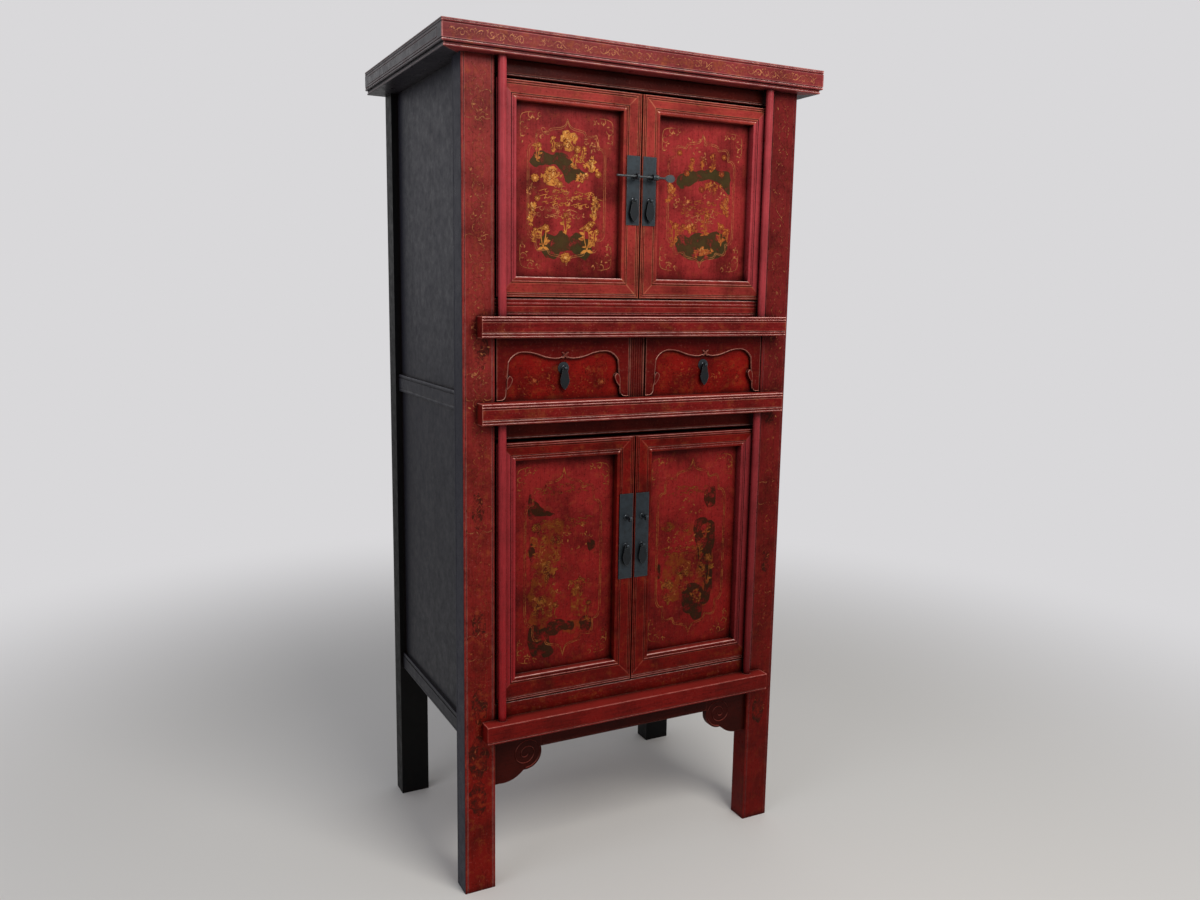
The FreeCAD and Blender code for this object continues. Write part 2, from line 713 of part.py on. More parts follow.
def filler(name, bottom, height, setback, beads_top, beads_bottom, bead):
    """Board that fills the front between the posts, above or below a pair of doors."""
    body = new_body(name, 0, FRONT + setback, bottom)
    back = s.filler_thickness
    outline = [(back, 0), (back, height)] + beaded_face(height, 0, beads_top, beads_bottom, bead)
    pad(body, "YZ", outline, OPENING * 2, symmetric=True)
    return node(body)


def fillers():
    """Sills under the doors, the upper one reeded, and friezes over them."""
    sill, frieze = s.sill_setback, s.frieze_setback
    filler("sill_upper", HIGH_WAIST_TOP, s.upper_sill_height, sill, 2, 1, s.reed)
    filler("sill_lower", BASE_TOP, s.lower_sill_height, sill, 0, 0, s.bead)
    height = s.upper_frieze_height
    filler("frieze_upper", POST_TOP - height, height, frieze, 0, 1, s.bead)
    height = s.lower_frieze_height
    filler("frieze_lower", LOW_WAIST_BOTTOM - height, height, frieze, 0, 1, s.bead)


def drawer_divider():
    """Upright between the drawers, its face worked into reeds."""
    body = new_body("drawer_divider", 0, FRONT + s.divider_setback, LOW_WAIST_TOP)
    half, quirk, reed = s.divider_width / 2, s.quirk, s.bead
    pitch = reed + quirk
    start = -(pitch * DIVIDER_REEDS + quirk) / 2
    outline = [(-half, 0), (start, 0), (start, quirk)]
    for number in range(DIVIDER_REEDS):
        near = start + quirk + pitch * number
        outline += [(near, quirk), (near + reed, quirk, bead_radius(reed))]
    outline += [(-start, quirk), (-start, 0), (half, 0)]
    depth = s.post_depth - s.divider_setback
    outline += [(half, depth), (-half, depth)]
    pad(body, "XY", outline, s.drawer_tier_height)
    return node(body)


def apron():
    """Straight apron between the brackets, beaded on its lower edge."""
    body = new_body("apron", 0, FRONT + s.apron_setback, BASE_BOTTOM - s.apron_height)
    back, height = s.apron_thickness, s.apron_height
    outline = [(back, 0), (back, height)] + beaded_face(height, 0, 0, 1, s.bead)
    pad(body, "YZ", outline, (OPENING - s.spandrel_width) * 2, symmetric=True)
    return node(body)


def spandrel(side):
    """Bracket at the end of the apron: two cusped lobes and a scroll carved in relief."""
    corner_z = BASE_BOTTOM - s.apron_height
    body = new_body("bracket_" + NAMES[side], OPENING * side, FRONT + s.apron_setback, corner_z)
    inward = -side
    width, drop, toe = s.spandrel_width, s.spandrel_height, s.spandrel_toe
    cusp_x, cusp_drop = width - s.spandrel_cusp_inset, s.spandrel_cusp_drop
    lower_lobe = arc_radius(cusp_x - toe, drop - cusp_drop, s.spandrel_toe_bulge)
    upper_lobe = arc_radius(width - cusp_x, cusp_drop, s.spandrel_lobe_bulge)
    outline = [
        (0, s.apron_height),
        (0, -drop),
        (toe * inward, -drop),
        (cusp_x * inward, -cusp_drop, lower_lobe * inward),
        (width * inward, 0, upper_lobe * inward),
        (width * inward, s.apron_height),
    ]
    pad(body, "XZ", outline, s.apron_thickness, height=-s.apron_thickness)
    scroll(body, (width - s.volute_inset) * inward, -s.volute_drop, inward)
    return body


def scroll(body, u, v, inward):
    """Rib that follows the upper lobe, then winds in by shrinking half turns."""
    path = new_sketch(body, "XZ", 0)

    def arc(centre, radius, first, sweep):
        circle = Part.Circle(
            FreeCAD.Vector(centre.value, v.value, 0), FreeCAD.Vector(0, 0, 1), radius.value
        )
        index = path.addGeometry(Part.ArcOfCircle(circle, first, first + sweep), False)
        constrain(path, "DistanceX", centre, -1, 1, index, 3)
        constrain(path, "DistanceY", v, -1, 1, index, 3)
        return index

    near = u + s.volute_rim * inward
    rim = arc(u, s.volute_rim, -math.pi / 2 if inward > 0 else math.pi, math.pi / 2)
    foot, end = (1, 2) if inward > 0 else (2, 1)
    constrain(path, "DistanceX", near, -1, 1, rim, end)
    path.addConstraint(Sketcher.Constraint("Horizontal", rim, end, rim, 3))
    path.addConstraint(Sketcher.Constraint("Vertical", rim, foot, rim, 3))
    for turn in range(VOLUTE_HALF_TURNS):
        upper = turn % 2 == 0
        radius = s.volute_radius * (1 - VOLUTE_SHRINK * turn)
        far = near + radius * 2 * (-inward if upper else inward)
        centre = (near + far) / 2
        index = arc(centre, radius, 0 if upper else math.pi, math.pi)
        constrain(path, "DistanceX", centre + radius * (1 if upper else -1), -1, 1, index, 1)
        path.addConstraint(Sketcher.Constraint("Horizontal", index, 1, index, 3))
        path.addConstraint(Sketcher.Constraint("Horizontal", index, 2, index, 3))
        near = far
    section = new_sketch(body, "YZ", u)
    rib = rib_section(v - s.volute_rim, s.volute_rib, s.volute_rib)
    draw(section, [(depth, across) for across, depth in rib])
    sweep(body, section, path)


# ------------------------------------------------------------------ cornice and floors

def cornice_profile():
    """Section of the cornice, front face at 0: a bead under the cap, a flat, a bead, a step."""
    width, height, bead, quirk, step = (
        s.cornice_member_width, s.cornice_height, s.cornice_bead, s.quirk, s.cornice_step
    )
    cap = height - s.cornice_cap
    flat_top = cap - bead - quirk
    flat_bottom = s.cornice_step_height + bead + quirk
    return [
        (width, 0),
        (width, height),
        (0, height),
        (0, cap),
        (quirk, cap),
        (quirk, cap - bead, bead_radius(bead)),
        (quirk, flat_top),
        (0, flat_top),
        (0, flat_bottom),
        (quirk, flat_bottom),
        (quirk, flat_bottom - quirk),
        (quirk, s.cornice_step_height, bead_radius(bead)),
        (step, s.cornice_step_height),
        (step, s.cornice_foot_bead),
        (step, 0, bead_radius(s.cornice_foot_bead)),
    ]


def incised_panel(body, side, length):
    """Line scratched round the flat of a cornice return."""
    line, edge = s.quirk, s.cornice_bead + s.quirk + s.incision_inset
    low, high = s.cornice_step_height + edge, s.cornice_height - s.cornice_cap - edge
    near, far = s.incision_end, length - s.incision_end
    cut(
        body, "YZ", rectangle(near, low, far, high), line, reverse=side == LEFT,
        inner=rectangle(near + line, low + line, far - line, high - line),
    )


def cornice():
    """Mitred frame of moulded members, butted at the back, with boards let in flush below."""
    reach, member = HALF_WIDTH + s.cornice_side_overhang, s.cornice_member_width
    front_y = FRONT - s.cornice_front_overhang
    front = new_body("cornice_front", 0, front_y, POST_TOP)
    pad(front, "YZ", cornice_profile(), reach * 2, symmetric=True)
    for side in (LEFT, RIGHT):
        corner = [
            (reach * side, 0),
            (reach * side, member),
            ((reach - member) * side, member),
        ]
        cut(front, "XY", corner, s.cornice_height, height=0, reverse=True)
    pole_sockets(front, front_y, 0, True)
    node(front)
    returns = []
    for side in (LEFT, RIGHT):
        body = new_body("cornice_return_" + NAMES[side], reach * side, front_y, POST_TOP)
        inward = -side
        outline = [
            (corner[0] * inward, corner[1]) + tuple(radius * inward for radius in corner[2:])
            for corner in cornice_profile()
        ]
        pad(body, "XZ", outline, BACK - front_y, reverse=True)
        corner = [(0, 0), (member * inward, 0), (member * inward, member)]
        cut(body, "XY", corner, s.cornice_height, height=0, reverse=True)
        incised_panel(body, side, BACK - front_y)
        returns.append(body)
    inner = reach - member
    back = board("cornice_back", (-inner, BACK - member, POST_TOP), (inner, BACK, TOP))
    node(group("cornice_returns", returns + [back]))
    top = TOP - s.top_board_drop
    node(board(
        "top_boards",
        (-inner, front_y + member, top - s.top_board_thickness),
        (inner, BACK - member, top),
    ))


def floors():
    """Floor of each compartment, the deck under the drawers, their battens and guides."""
    thick, tongue = s.floor_thickness, s.floor_tongue
    reach = RAIL_INNER + tongue
    for name, top in (("floor_lower", BASE_TOP), ("drawer_deck", LOW_WAIST_TOP)):
        node(board(name, (-reach, INNER_FRONT, top - thick), (reach, INNER_BACK, top)))
    under = HIGH_WAIST_TOP - thick
    node(board("floor_upper", (-PANEL_INNER, INNER_FRONT, under), (PANEL_INNER, INNER_BACK, under + thick)))
    shelf = BASE_TOP + s.shelf_height
    front = INNER_FRONT + s.shelf_front_gap
    node(board("shelf", (-PANEL_INNER, front, shelf), (PANEL_INNER, INNER_BACK, shelf + thick)))
    strips = []
    for name, top in (("floor", under), ("shelf", shelf)):
        for side in (LEFT, RIGHT):
            strips.append(board(
                f"bearer_{name}_{NAMES[side]}",
                (PANEL_INNER * side, INNER_FRONT, top - s.bearer_height),
                ((PANEL_INNER - s.bearer_width) * side, INNER_BACK, top),
            ))
    node(group("bearers", strips))


def drawer_guides():
    """Strips on the deck that keep the drawers straight, beside them and between them."""
    outer = DRAWER_OUTER - s.drawer_side_inset + s.guide_gap
    inner = DRAWER_INNER + s.drawer_side_inset - s.guide_gap
    top = LOW_WAIST_TOP + s.guide_height
    spans = [("left", -RAIL_INNER, -outer), ("centre", -inner, inner), ("right", outer, RAIL_INNER)]
    strips = [
        board(f"guide_{name}", (near, INNER_FRONT, LOW_WAIST_TOP), (far, INNER_BACK, top))
        for name, near, far in spans
    ]
    node(group("drawer_guides", strips))


# ------------------------------------------------------------------ doors

def fine_bead(start):
    """Corners of a bead too fine to round: two flanks and a flat crown."""
    bead, quirk = s.frame_bead, s.quirk
    return [(start, quirk), (start + bead / 4, 0), (start + bead * 3 / 4, 0), (start + bead, quirk)]


def frame_section(width, swap=False, flip=1):
    """Section of a door member: fine beads beside both edges, a nosing, a wall down to the panel."""
    nosing, quirk, thick = s.frame_nosing, s.quirk, s.door_thickness
    pitch = s.frame_bead + quirk
    inner = width - nosing - pitch
    recess = s.door_panel_recess
    groove = width - s.groove_depth
    corners = [(0, thick)] + fine_bead(0) + fine_bead(pitch)
    corners += [(pitch * 2, quirk), (pitch * 2, 0), (inner - quirk, 0), (inner - quirk, quirk)]
    corners += fine_bead(inner)
    corners += [
        (inner + pitch, quirk),
        (width, quirk, bead_radius(nosing)),
        (width, recess),
        (groove, recess),
        (groove, recess + s.door_panel_thickness),
        (width, recess + s.door_panel_thickness),
        (width, thick),
    ]
    turn = -flip if swap else flip
    placed = []
    for across, depth, *arc in corners:
        across = as_size(across) * flip
        point = (depth, across) if swap else (across, depth)
        placed.append(point + tuple(radius * turn for radius in arc))
    return placed


def stile_mitres(body, flip, width, foot_rail, head_rail, height):
    """Trim both ends of a stile where the rails meet it."""
    reach = width + foot_rail + head_rail
    for rail, level, up in ((foot_rail, 0, 1), (head_rail, height, -1)):
        corner = level + rail * up
        triangle = [
            ((width + MITRE_SPARE) * flip, corner + MITRE_SPARE * up),
            ((width - reach) * flip, corner - reach * up),
            ((width + MITRE_SPARE) * flip, corner - reach * up),
        ]
        cut(body, "XZ", triangle, s.door_thickness, height=0)


def rail_mitres(body, flip, rail, level, up, hinge, meeting):
    """Trim both ends of a rail where the stiles meet it."""
    reach = hinge + meeting + rail
    corner = level + rail * up
    for near, run in ((hinge, 1), (DOOR_WIDTH - meeting, -1)):
        triangle = [
            ((near + MITRE_SPARE * run) * flip, corner + MITRE_SPARE * up),
            ((near - reach * run) * flip, corner - reach * up),
            ((near - reach * run) * flip, corner + MITRE_SPARE * up),
        ]
        cut(body, "XZ", triangle, s.door_thickness, height=0)


def hinge_stile(name, flip, origin, foot_rail, head_rail, height, tier_bottom, tier_top):
    """Stile joined by a neck to its round pole, whose ends stand in sockets."""
    body = new_body(name + "_hinge_stile", *origin)
    width = s.hinge_stile_width
    pad(body, "XY", frame_section(width, flip=flip), height)
    far = s.pole_radius * 2 - s.pole_neck
    neck = rectangle(s.pole_neck * flip, -s.pole_standout, far * flip, s.quirk * 2)
    pad(body, "XY", neck, height)
    stile_mitres(body, flip, width, foot_rail, head_rail, height)
    foot = tier_bottom - s.pivot_length
    head = tier_top + s.pivot_length
    pole = (s.pole_radius * flip, -s.pole_standout, s.pole_radius)
    pad(body, "XY", pole, head - foot, height=foot - origin[2])
    return node(body)


def door_frame(name, flip, origin, foot_rail, head_rail, height):
    """Meeting stile and the two rails of a door, mitred together."""
    hinge, meeting = s.hinge_stile_width, s.meeting_stile_width
    stile = new_body(name + "_meeting_stile", origin[0] + DOOR_WIDTH * flip, origin[1], origin[2])
    pad(stile, "XY", frame_section(meeting, flip=-flip), height)
    stile_mitres(stile, -flip, meeting, foot_rail, head_rail, height)
    rails = []
    for place, rail, level, up in (("foot", foot_rail, 0, 1), ("head", head_rail, height, -1)):
        body = new_body(f"{name}_{place}_rail", origin[0], origin[1], origin[2] + level)
        length = DOOR_WIDTH
        pad(body, "YZ", frame_section(rail, swap=True, flip=up), length, reverse=flip < 0)
        rail_mitres(body, flip, rail, 0, up, hinge, meeting)
        rails.append(body)
    return node(group(name + "_frame", [stile] + rails))


def door_panel(name, flip, origin, foot_rail, head_rail, height):
    """Panel in the grooves of its frame, with a batten across its back."""
    depth, recess, thick = s.groove_depth, s.door_panel_recess, s.door_panel_thickness
    near = s.hinge_stile_width - depth
    far = DOOR_WIDTH - s.meeting_stile_width + depth
    x, y, z = origin
    panel = new_body(name + "_panel_board", x, y + recess, z + foot_rail - depth)
    face = rectangle(near * flip, 0, far * flip, thick)
    pad(panel, "XY", face, height - foot_rail - head_rail + depth * 2)
    batten = new_body(name + "_batten", x, y + recess + thick, z + height / 2 - s.batten_width / 2)
    strip = rectangle(
        s.hinge_stile_width * flip, 0, (DOOR_WIDTH - s.meeting_stile_width) * flip,
        s.door_thickness - recess - thick
    )
    pad(batten, "XY", strip, s.batten_width)
    return node(group(name + "_panel", [panel, batten]))


def eye(body, z, standout, outer, hole, width, face):
    """Forged eye on a stem: a ring whose hole runs across the door."""
    stem = rectangle((outer + hole) / 2 - standout, z - outer / 2, -face, z + outer / 2)
    pad(body, "YZ", stem, width, symmetric=True)
    pad(body, "YZ", (-standout, z, outer), width, symmetric=True)
    cut(body, "YZ", (-standout, z, hole), width * 2, symmetric=True)


def pull_eye(body, z, face):
    """Eye that a pull hangs from."""
    bore = s.pull_bar_radius + s.pivot_clearance
    eye(body, z, face + s.pull_standout, s.pull_eye_radius, bore, s.pull_eye_width, face)


def door_plate(name, side, width, height, bottom, eye_drop, pull_rise):
    """Iron plate on the meeting stile, with its lock eye and the eye for its pull."""
    x = (s.seam / 2 + s.plate_seam_inset + width / 2) * side
    body = new_body(name + "_plate", x, FRONT, bottom)
    thick = s.plate_thickness
    pad(body, "XZ", rectangle(-width / 2, 0, width / 2, height), thick)
    hole, standout = s.lock_pin_radius + s.pivot_clearance, thick + s.lock_eye_standout
    eye(body, height - eye_drop, standout, s.lock_eye_radius, hole, s.lock_eye_width, thick)
    pull_eye(body, pull_rise, thick)
    node(body)
    return pull(name + "_pull", x, FRONT - thick - s.pull_standout, bottom + pull_rise)


def pull(name, x, y, z):
    """Leaf-shaped drop that swings on a bar through its eye. Its origin is its axis."""
    body = new_body(name, x, y, z)
    shoulder, half, bar = s.pull_shoulder / 2, s.pull_width / 2, s.pull_bar_radius
    length, belly = s.pull_length, s.pull_belly
    point = arc_radius(half, length - belly, s.pull_tip_bulge)
    outline = [
        (-shoulder, 0),
        (-half, -belly),
        (0, -length, point),
        (half, -belly, point),
        (shoulder, 0),
    ]
    pad(body, "XZ", outline, s.pull_thickness, symmetric=True)
    slot_half = s.pull_eye_width / 2 + s.pull_slot_play
    slot = rectangle(-slot_half, -s.pull_eye_radius - s.pull_slot_play, slot_half, bar)
    cut(body, "XZ", slot, s.pull_thickness * 2, symmetric=True)
    pad(body, "YZ", (0, 0, bar), s.pull_shoulder, symmetric=True)
    return node(body)


def door(side, tier):
    """One door: pole and hinge stile, mitred frame, panel, plate and pull."""
    name = f"door_{tier.name}_{NAMES[side]}"
    flip = -side
    origin = (DOOR_EDGE * side, FRONT, tier.foot)
    member = (tier.foot_rail, s.door_top_rail, tier.height)
    hinge_stile(name, flip, origin, *member, tier.bottom, tier.top)
    door_frame(name, flip, origin, *member)
    door_panel(name, flip, origin, *member)
    door_plate(name, side, *tier.plate, tier.plate_bottom, *tier.eyes)


def lock_pin():
    """Pin through both lock eyes of the upper doors, with a coil and a leaf at its right end."""
    y = FRONT - s.plate_thickness - s.lock_eye_standout
    z = UPPER_DOOR.plate_bottom + s.upper_plate_height - s.upper_eye_drop
    body = new_body("lock_pin", 0, y, z)
    left, right = s.lock_pin_left, s.lock_pin_right
    pad(body, "YZ", (0, 0, s.lock_pin_radius), left + right, height=-left)
    eye_face = s.seam / 2 + s.plate_seam_inset + s.upper_plate_width / 2 + s.lock_eye_width / 2
    pad(body, "YZ", (0, 0, s.collar_radius), s.collar_width, height=eye_face + s.collar_gap)
    half, length, belly = s.lock_leaf_width / 2, s.lock_leaf_length, s.lock_leaf_belly
    root, neck = right - s.lock_pin_radius, s.lock_pin_radius / 2
    flank = arc_radius(belly, half - neck, s.lock_leaf_bulge)
    point = arc_radius(length - belly, half, s.lock_leaf_bulge)
    outline = [
        (root, -neck),
        (root + belly, -half, flank),
        (root + length, 0, point),
        (root + belly, half, point),
        (root, neck, flank),
    ]
    pad(body, "XZ", outline, s.lock_leaf_thickness, symmetric=True)
    return node(body)


# ------------------------------------------------------------------ drawers

def arch_edge(side):
    """Cusped edge from the foot of one upright to the middle of the drawer."""
    foot = DRAWER_HALF - s.arch_foot_width
    shoulder = DRAWER_HALF - s.arch_shoulder_width
    flare, toe = s.arch_toe_flare, s.arch_toe_height
    inset, rise, fall = s.arch_lobe_inset, s.arch_lobe_rise, s.arch_dip_fall
    crown, dip = shoulder - inset, s.arch_dip_half
    run = crown - dip
    lobe = (inset * inset + rise * rise) / (rise * 2)
    swing = (run * run + fall * fall) / (fall * 4)
    hook = (dip * dip + s.arch_peak * s.arch_peak) / (s.arch_peak * 2)
    return [
        (DRAWER_HALF * side, toe),
        ((foot + flare) * side, toe),
        (foot * side, toe + flare, flare * -side),
        (shoulder * side, ARCH_CROWN - rise),
        (crown * side, ARCH_CROWN, lobe * side),
        ((crown + dip) / 2 * side, ARCH_CROWN - fall / 2, swing * side),
        (dip * side, ARCH_DIP, -swing * side),
        (0, ARCH_DIP + s.arch_peak, -hook * side),
    ]


def reversed_run(corners):
    """The same run of corners walked from its end to its start."""
    walked = []
    for number in range(len(corners) - 1, -1, -1):
        arc = corners[number + 1][2:] if number + 1 < len(corners) else ()
        walked.append(corners[number][:2] + tuple(-radius for radius in arc))
    return walked


def raised_edge(body, side):
    """Round bead that follows the cusped edge on one side."""
    path = new_sketch(body, "XZ", 0)
    corners = arch_edge(side)
    draw(path, corners, closed=False)
    foot_x, foot_z = corners[0]
    section = new_sketch(body, "YZ", foot_x)
    rib = rib_section(foot_z, s.arch_bead / 2, s.arch_bead_height)
    draw(section, [(depth, across) for across, depth in rib])
    sweep(body, section, path)


def leaf(body, side):
    """Carved leaf that springs from the upright of the cusped frame."""
    x = DRAWER_HALF - s.arch_shoulder_width
    low, high = s.leaf_foot, s.leaf_foot + s.leaf_length
    root, tip, belly = x + s.leaf_width / 2, x - s.leaf_width / 4, x - s.leaf_width
    middle, shoulder = (low + high) / 2, high - s.leaf_length / 3
    sides = [
        (belly, shoulder, root, low),
        (tip, high, belly, shoulder),
        (root, middle, tip, high),
    ]
    outline = [(root * side, low)]
    for u, v, from_u, from_v in sides:
        outline.append((u * side, v, arc_radius(u - from_u, v - from_v, s.leaf_bulge) * -side))
    pad(body, "XZ", outline, s.arch_thickness + s.carving_relief, height=-s.arch_thickness)


def bow(body):
    """Carved bow at the middle of the cusped frame: two strands that cross."""
    centre = ARCH_DIP + s.arch_peak
    reach, half, sunk = s.bow_reach, s.bow_strand, s.arch_thickness / 2
    for side, relief in ((LEFT, s.bow_relief), (RIGHT, s.carving_relief)):
        strand = [
            ((-reach - half) * side, centre - reach),
            ((half - reach) * side, centre - reach),
            ((reach + half) * side, centre + reach),
            ((reach - half) * side, centre + reach),
        ]
        pad(body, "XZ", strand, relief + sunk, height=-sunk)


def cusped_frame(name, x):
    """Flat frame with a cusped edge, applied to the drawer front; its back is at depth 0."""
    body = new_body(name + "_arch", x, FRONT, DRAWER_FOOT)
    outline = [(DRAWER_HALF, DRAWER_HEIGHT), (-DRAWER_HALF, DRAWER_HEIGHT)]
    outline += arch_edge(LEFT) + reversed_run(arch_edge(RIGHT))[1:]
    pad(body, "XZ", outline, s.arch_thickness, height=-s.arch_thickness)
    for side in (LEFT, RIGHT):
        raised_edge(body, side)
        leaf(body, side)
    bow(body)
    return node(body)


def drawer(side):
    """One drawer: front, cusped frame, box, plate with its eye, and pull."""
    name = "drawer_" + NAMES[side]
    x = (DRAWER_INNER + DRAWER_HALF) * side
    face, thick = FRONT + s.arch_thickness, s.drawer_front_thickness
    node(board(
        name + "_front",
        (x - DRAWER_HALF, face, DRAWER_FOOT),
        (x + DRAWER_HALF, face + thick, DRAWER_FOOT + DRAWER_HEIGHT),
    ))
    cusped_frame(name, x)
    wall, half = s.drawer_board, DRAWER_HALF - s.drawer_side_inset
    start, end = face + thick, INNER_BACK - s.drawer_back_gap
    rim, floor = DRAWER_FOOT + s.drawer_side_height, DRAWER_FOOT + s.drawer_bottom
    box = [
        board(name + "_bottom", (x - half, start, DRAWER_FOOT), (x + half, end, floor)),
        board(name + "_back", (x - half + wall, end - wall, floor), (x + half - wall, end, rim)),
        board(name + "_side_0", (x - half, start, floor), (x - half + wall, end, rim)),
        board(name + "_side_1", (x + half - wall, start, floor), (x + half, end, rim)),
    ]
    node(group(name + "_box", box))
    plate = new_body(name + "_plate", x, face, DRAWER_FOOT)
    pad(plate, "XZ", (0, DRAWER_PULL, s.rosette_radius), s.plate_thickness)
    pull_eye(plate, DRAWER_PULL, s.plate_thickness)
    node(plate)
    pull(name + "_pull", x, face - s.plate_thickness - s.pull_standout, DRAWER_FOOT + DRAWER_PULL)


# ------------------------------------------------------------------ assembly

for half in (LEFT, RIGHT):
    front_post(half)
    back_post(half)
    side_frame(half)
node(group("apron_brackets", [spandrel(LEFT), spandrel(RIGHT)]))
back_frame()
projecting_rails()
fillers()
drawer_divider()
apron()
cornice()
floors()
drawer_guides()
for half in (LEFT, RIGHT):
    for tier in (UPPER_DOOR, LOWER_DOOR):
        door(half, tier)
    drawer(half)
lock_pin()
doc.recompute()

for item in doc.Objects:
    if "Invalid" in item.State or "Error" in item.State:
        raise RuntimeError(f"{item.Label} did not rebuild: {item.State}")
for item in nodes:
    if item.Shape.isNull() or not item.Shape.isValid() or not item.Shape.Solids:
        raise RuntimeError(f"{item.Label} has no sound solid")

os.makedirs("parts", exist_ok=True)
for item in nodes:
    item.Shape.exportStep(f"parts/{item.Label}.step")
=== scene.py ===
import math
import random

import bpy
from mathutils import Matrix, Vector


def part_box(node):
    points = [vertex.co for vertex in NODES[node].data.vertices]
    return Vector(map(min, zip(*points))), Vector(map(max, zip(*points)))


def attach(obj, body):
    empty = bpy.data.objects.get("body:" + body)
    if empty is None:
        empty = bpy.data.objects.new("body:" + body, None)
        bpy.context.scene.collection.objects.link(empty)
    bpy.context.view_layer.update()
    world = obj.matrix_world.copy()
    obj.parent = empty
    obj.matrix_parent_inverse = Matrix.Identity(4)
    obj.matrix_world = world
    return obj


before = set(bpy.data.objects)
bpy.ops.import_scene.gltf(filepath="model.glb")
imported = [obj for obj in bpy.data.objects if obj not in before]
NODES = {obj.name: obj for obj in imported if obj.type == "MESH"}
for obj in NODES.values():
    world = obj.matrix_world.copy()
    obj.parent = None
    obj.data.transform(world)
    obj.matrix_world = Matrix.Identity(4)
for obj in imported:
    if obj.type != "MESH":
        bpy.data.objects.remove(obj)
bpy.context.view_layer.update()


# ---------------------------------------------------------------- the room
# A plain pale floor that fades into a pale backdrop, under one high soft light in front of
# the cabinet and a weak fill at its left.

def srgb(code, strength=1.0):
    """Linear colour of a hex value such as 7A1E16."""
    channels = []
    for start in (0, 2, 4):
        value = int(code[start:start + 2], 16) / 255
        linear = value / 12.92 if value <= 0.04045 else ((value + 0.055) / 1.055) ** 2.4
        channels.append(linear * strength)
    return (*channels, 1.0)


def add(tree, kind, sockets=(), **settings):
    """Adds a node, sets its properties, and sets or links its sockets."""
    node = tree.nodes.new("ShaderNode" + kind)
    for key, value in settings.items():
        setattr(node, key, value)
    for key, value in dict(sockets).items():
        if isinstance(value, bpy.types.NodeSocket):
            tree.links.new(value, node.inputs[key])
        else:
            node.inputs[key].default_value = value
    return node


def new_finish(name):
    """Empty material: its node tree and its surface shader."""
    material = bpy.data.materials.new(name)
    material.use_nodes = True
    tree = material.node_tree
    tree.nodes.clear()
    shader = add(tree, "BsdfPrincipled")
    add(tree, "OutputMaterial", {"Surface": shader.outputs[0]})
    return material, tree, shader


def mesh_piece(name, corners, faces, material, body=None):
    """Mesh object with the given finish, riding on a body if one is given."""
    mesh = bpy.data.meshes.new(name)
    mesh.from_pydata([tuple(corner) for corner in corners], [], faces)
    mesh.update()
    piece = bpy.data.objects.new(name, mesh)
    bpy.context.scene.collection.objects.link(piece)
    mesh.materials.append(material)
    if body:
        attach(piece, body)
    return piece


scene = bpy.context.scene
scene.view_settings.view_transform = "Standard"

# The camera and polished surfaces see a pale backdrop; all else is lit by weak daylight.
PALE = srgb("D9D8DA")
world = bpy.data.worlds.new("room")
scene.world = world
world.use_nodes = True
air = world.node_tree
air.nodes.clear()
ray = add(air, "LightPath").outputs
direct = add(air, "Math", {0: ray["Is Camera Ray"], 1: ray["Is Glossy Ray"]}, operation="MAXIMUM")
direct = add(air, "Math", {0: direct.outputs[0], 1: ray["Is Transmission Ray"]}, operation="MAXIMUM")
backdrop = add(air, "Background", {"Color": PALE, "Strength": 1.0})
daylight = add(air, "Background", {"Color": srgb("E9EBF0"), "Strength": 0.44})
sky = add(air, "MixShader", {0: direct.outputs[0], 1: daylight.outputs[0], 2: backdrop.outputs[0]})
add(air, "OutputWorld", {"Surface": sky.outputs[0]})

# Matt floor paint: a warm off-white that takes the cabinet's soft shadow. From 1.1 m out it
# melts into the backdrop, so that no horizon shows.
FADE_STARTS, FADE_ENDS = 1.1, 3.2
HALF_FLOOR = 30.0
floor_finish, tree, shader = new_finish("matt_floor_paint")
shader.inputs["Base Color"].default_value = srgb("DEDBD7")
shader.inputs["Roughness"].default_value = 0.7
spot = add(tree, "TexCoord").outputs["Object"]
away = add(tree, "VectorMath", {0: spot}, operation="LENGTH").outputs["Value"]
fade = add(tree, "MapRange", {0: away, 1: FADE_STARTS, 2: FADE_ENDS}, interpolation_type="SMOOTHSTEP")
seen = add(tree, "LightPath").outputs["Is Camera Ray"]
fade = add(tree, "Math", {0: fade.outputs[0], 1: seen}, operation="MULTIPLY").outputs[0]
glow = add(tree, "Emission", {"Color": PALE, "Strength": 1.0})
blend = add(tree, "MixShader", {0: fade, 1: shader.outputs[0], 2: glow.outputs[0]})
output = [node for node in tree.nodes if node.type == "OUTPUT_MATERIAL"][0]
tree.links.new(blend.outputs[0], output.inputs["Surface"])
floor_corners = [(x * HALF_FLOOR, y * HALF_FLOOR, 0) for x, y in ((-1, -1), (1, -1), (1, 1), (-1, 1))]
floor = mesh_piece("floor", floor_corners, [(0, 1, 2, 3)], floor_finish)


def lamp(name, place, aim, size, watts, tint):
    """Square soft box at a place, turned towards its aim."""
    light = bpy.data.lights.new(name, "AREA")
    light.shape = "SQUARE"
    light.size = size
    light.energy = watts
    light.color = srgb(tint)[:3]
    holder = bpy.data.objects.new(name, light)
    holder.location = place
    holder.rotation_euler = (Vector(aim) - Vector(place)).to_track_quat("-Z", "Y").to_euler()
    scene.collection.objects.link(holder)


lamp("high_window", place=(0.35, -2.5, 3.1), aim=(0, -0.2, 1.3), size=1.5, watts=72, tint="FFFDF8")
lamp("left_fill", place=(-3.4, -1.3, 2.3), aim=(0, 0, 1.1), size=2.2, watts=22, tint="F2F5FF")

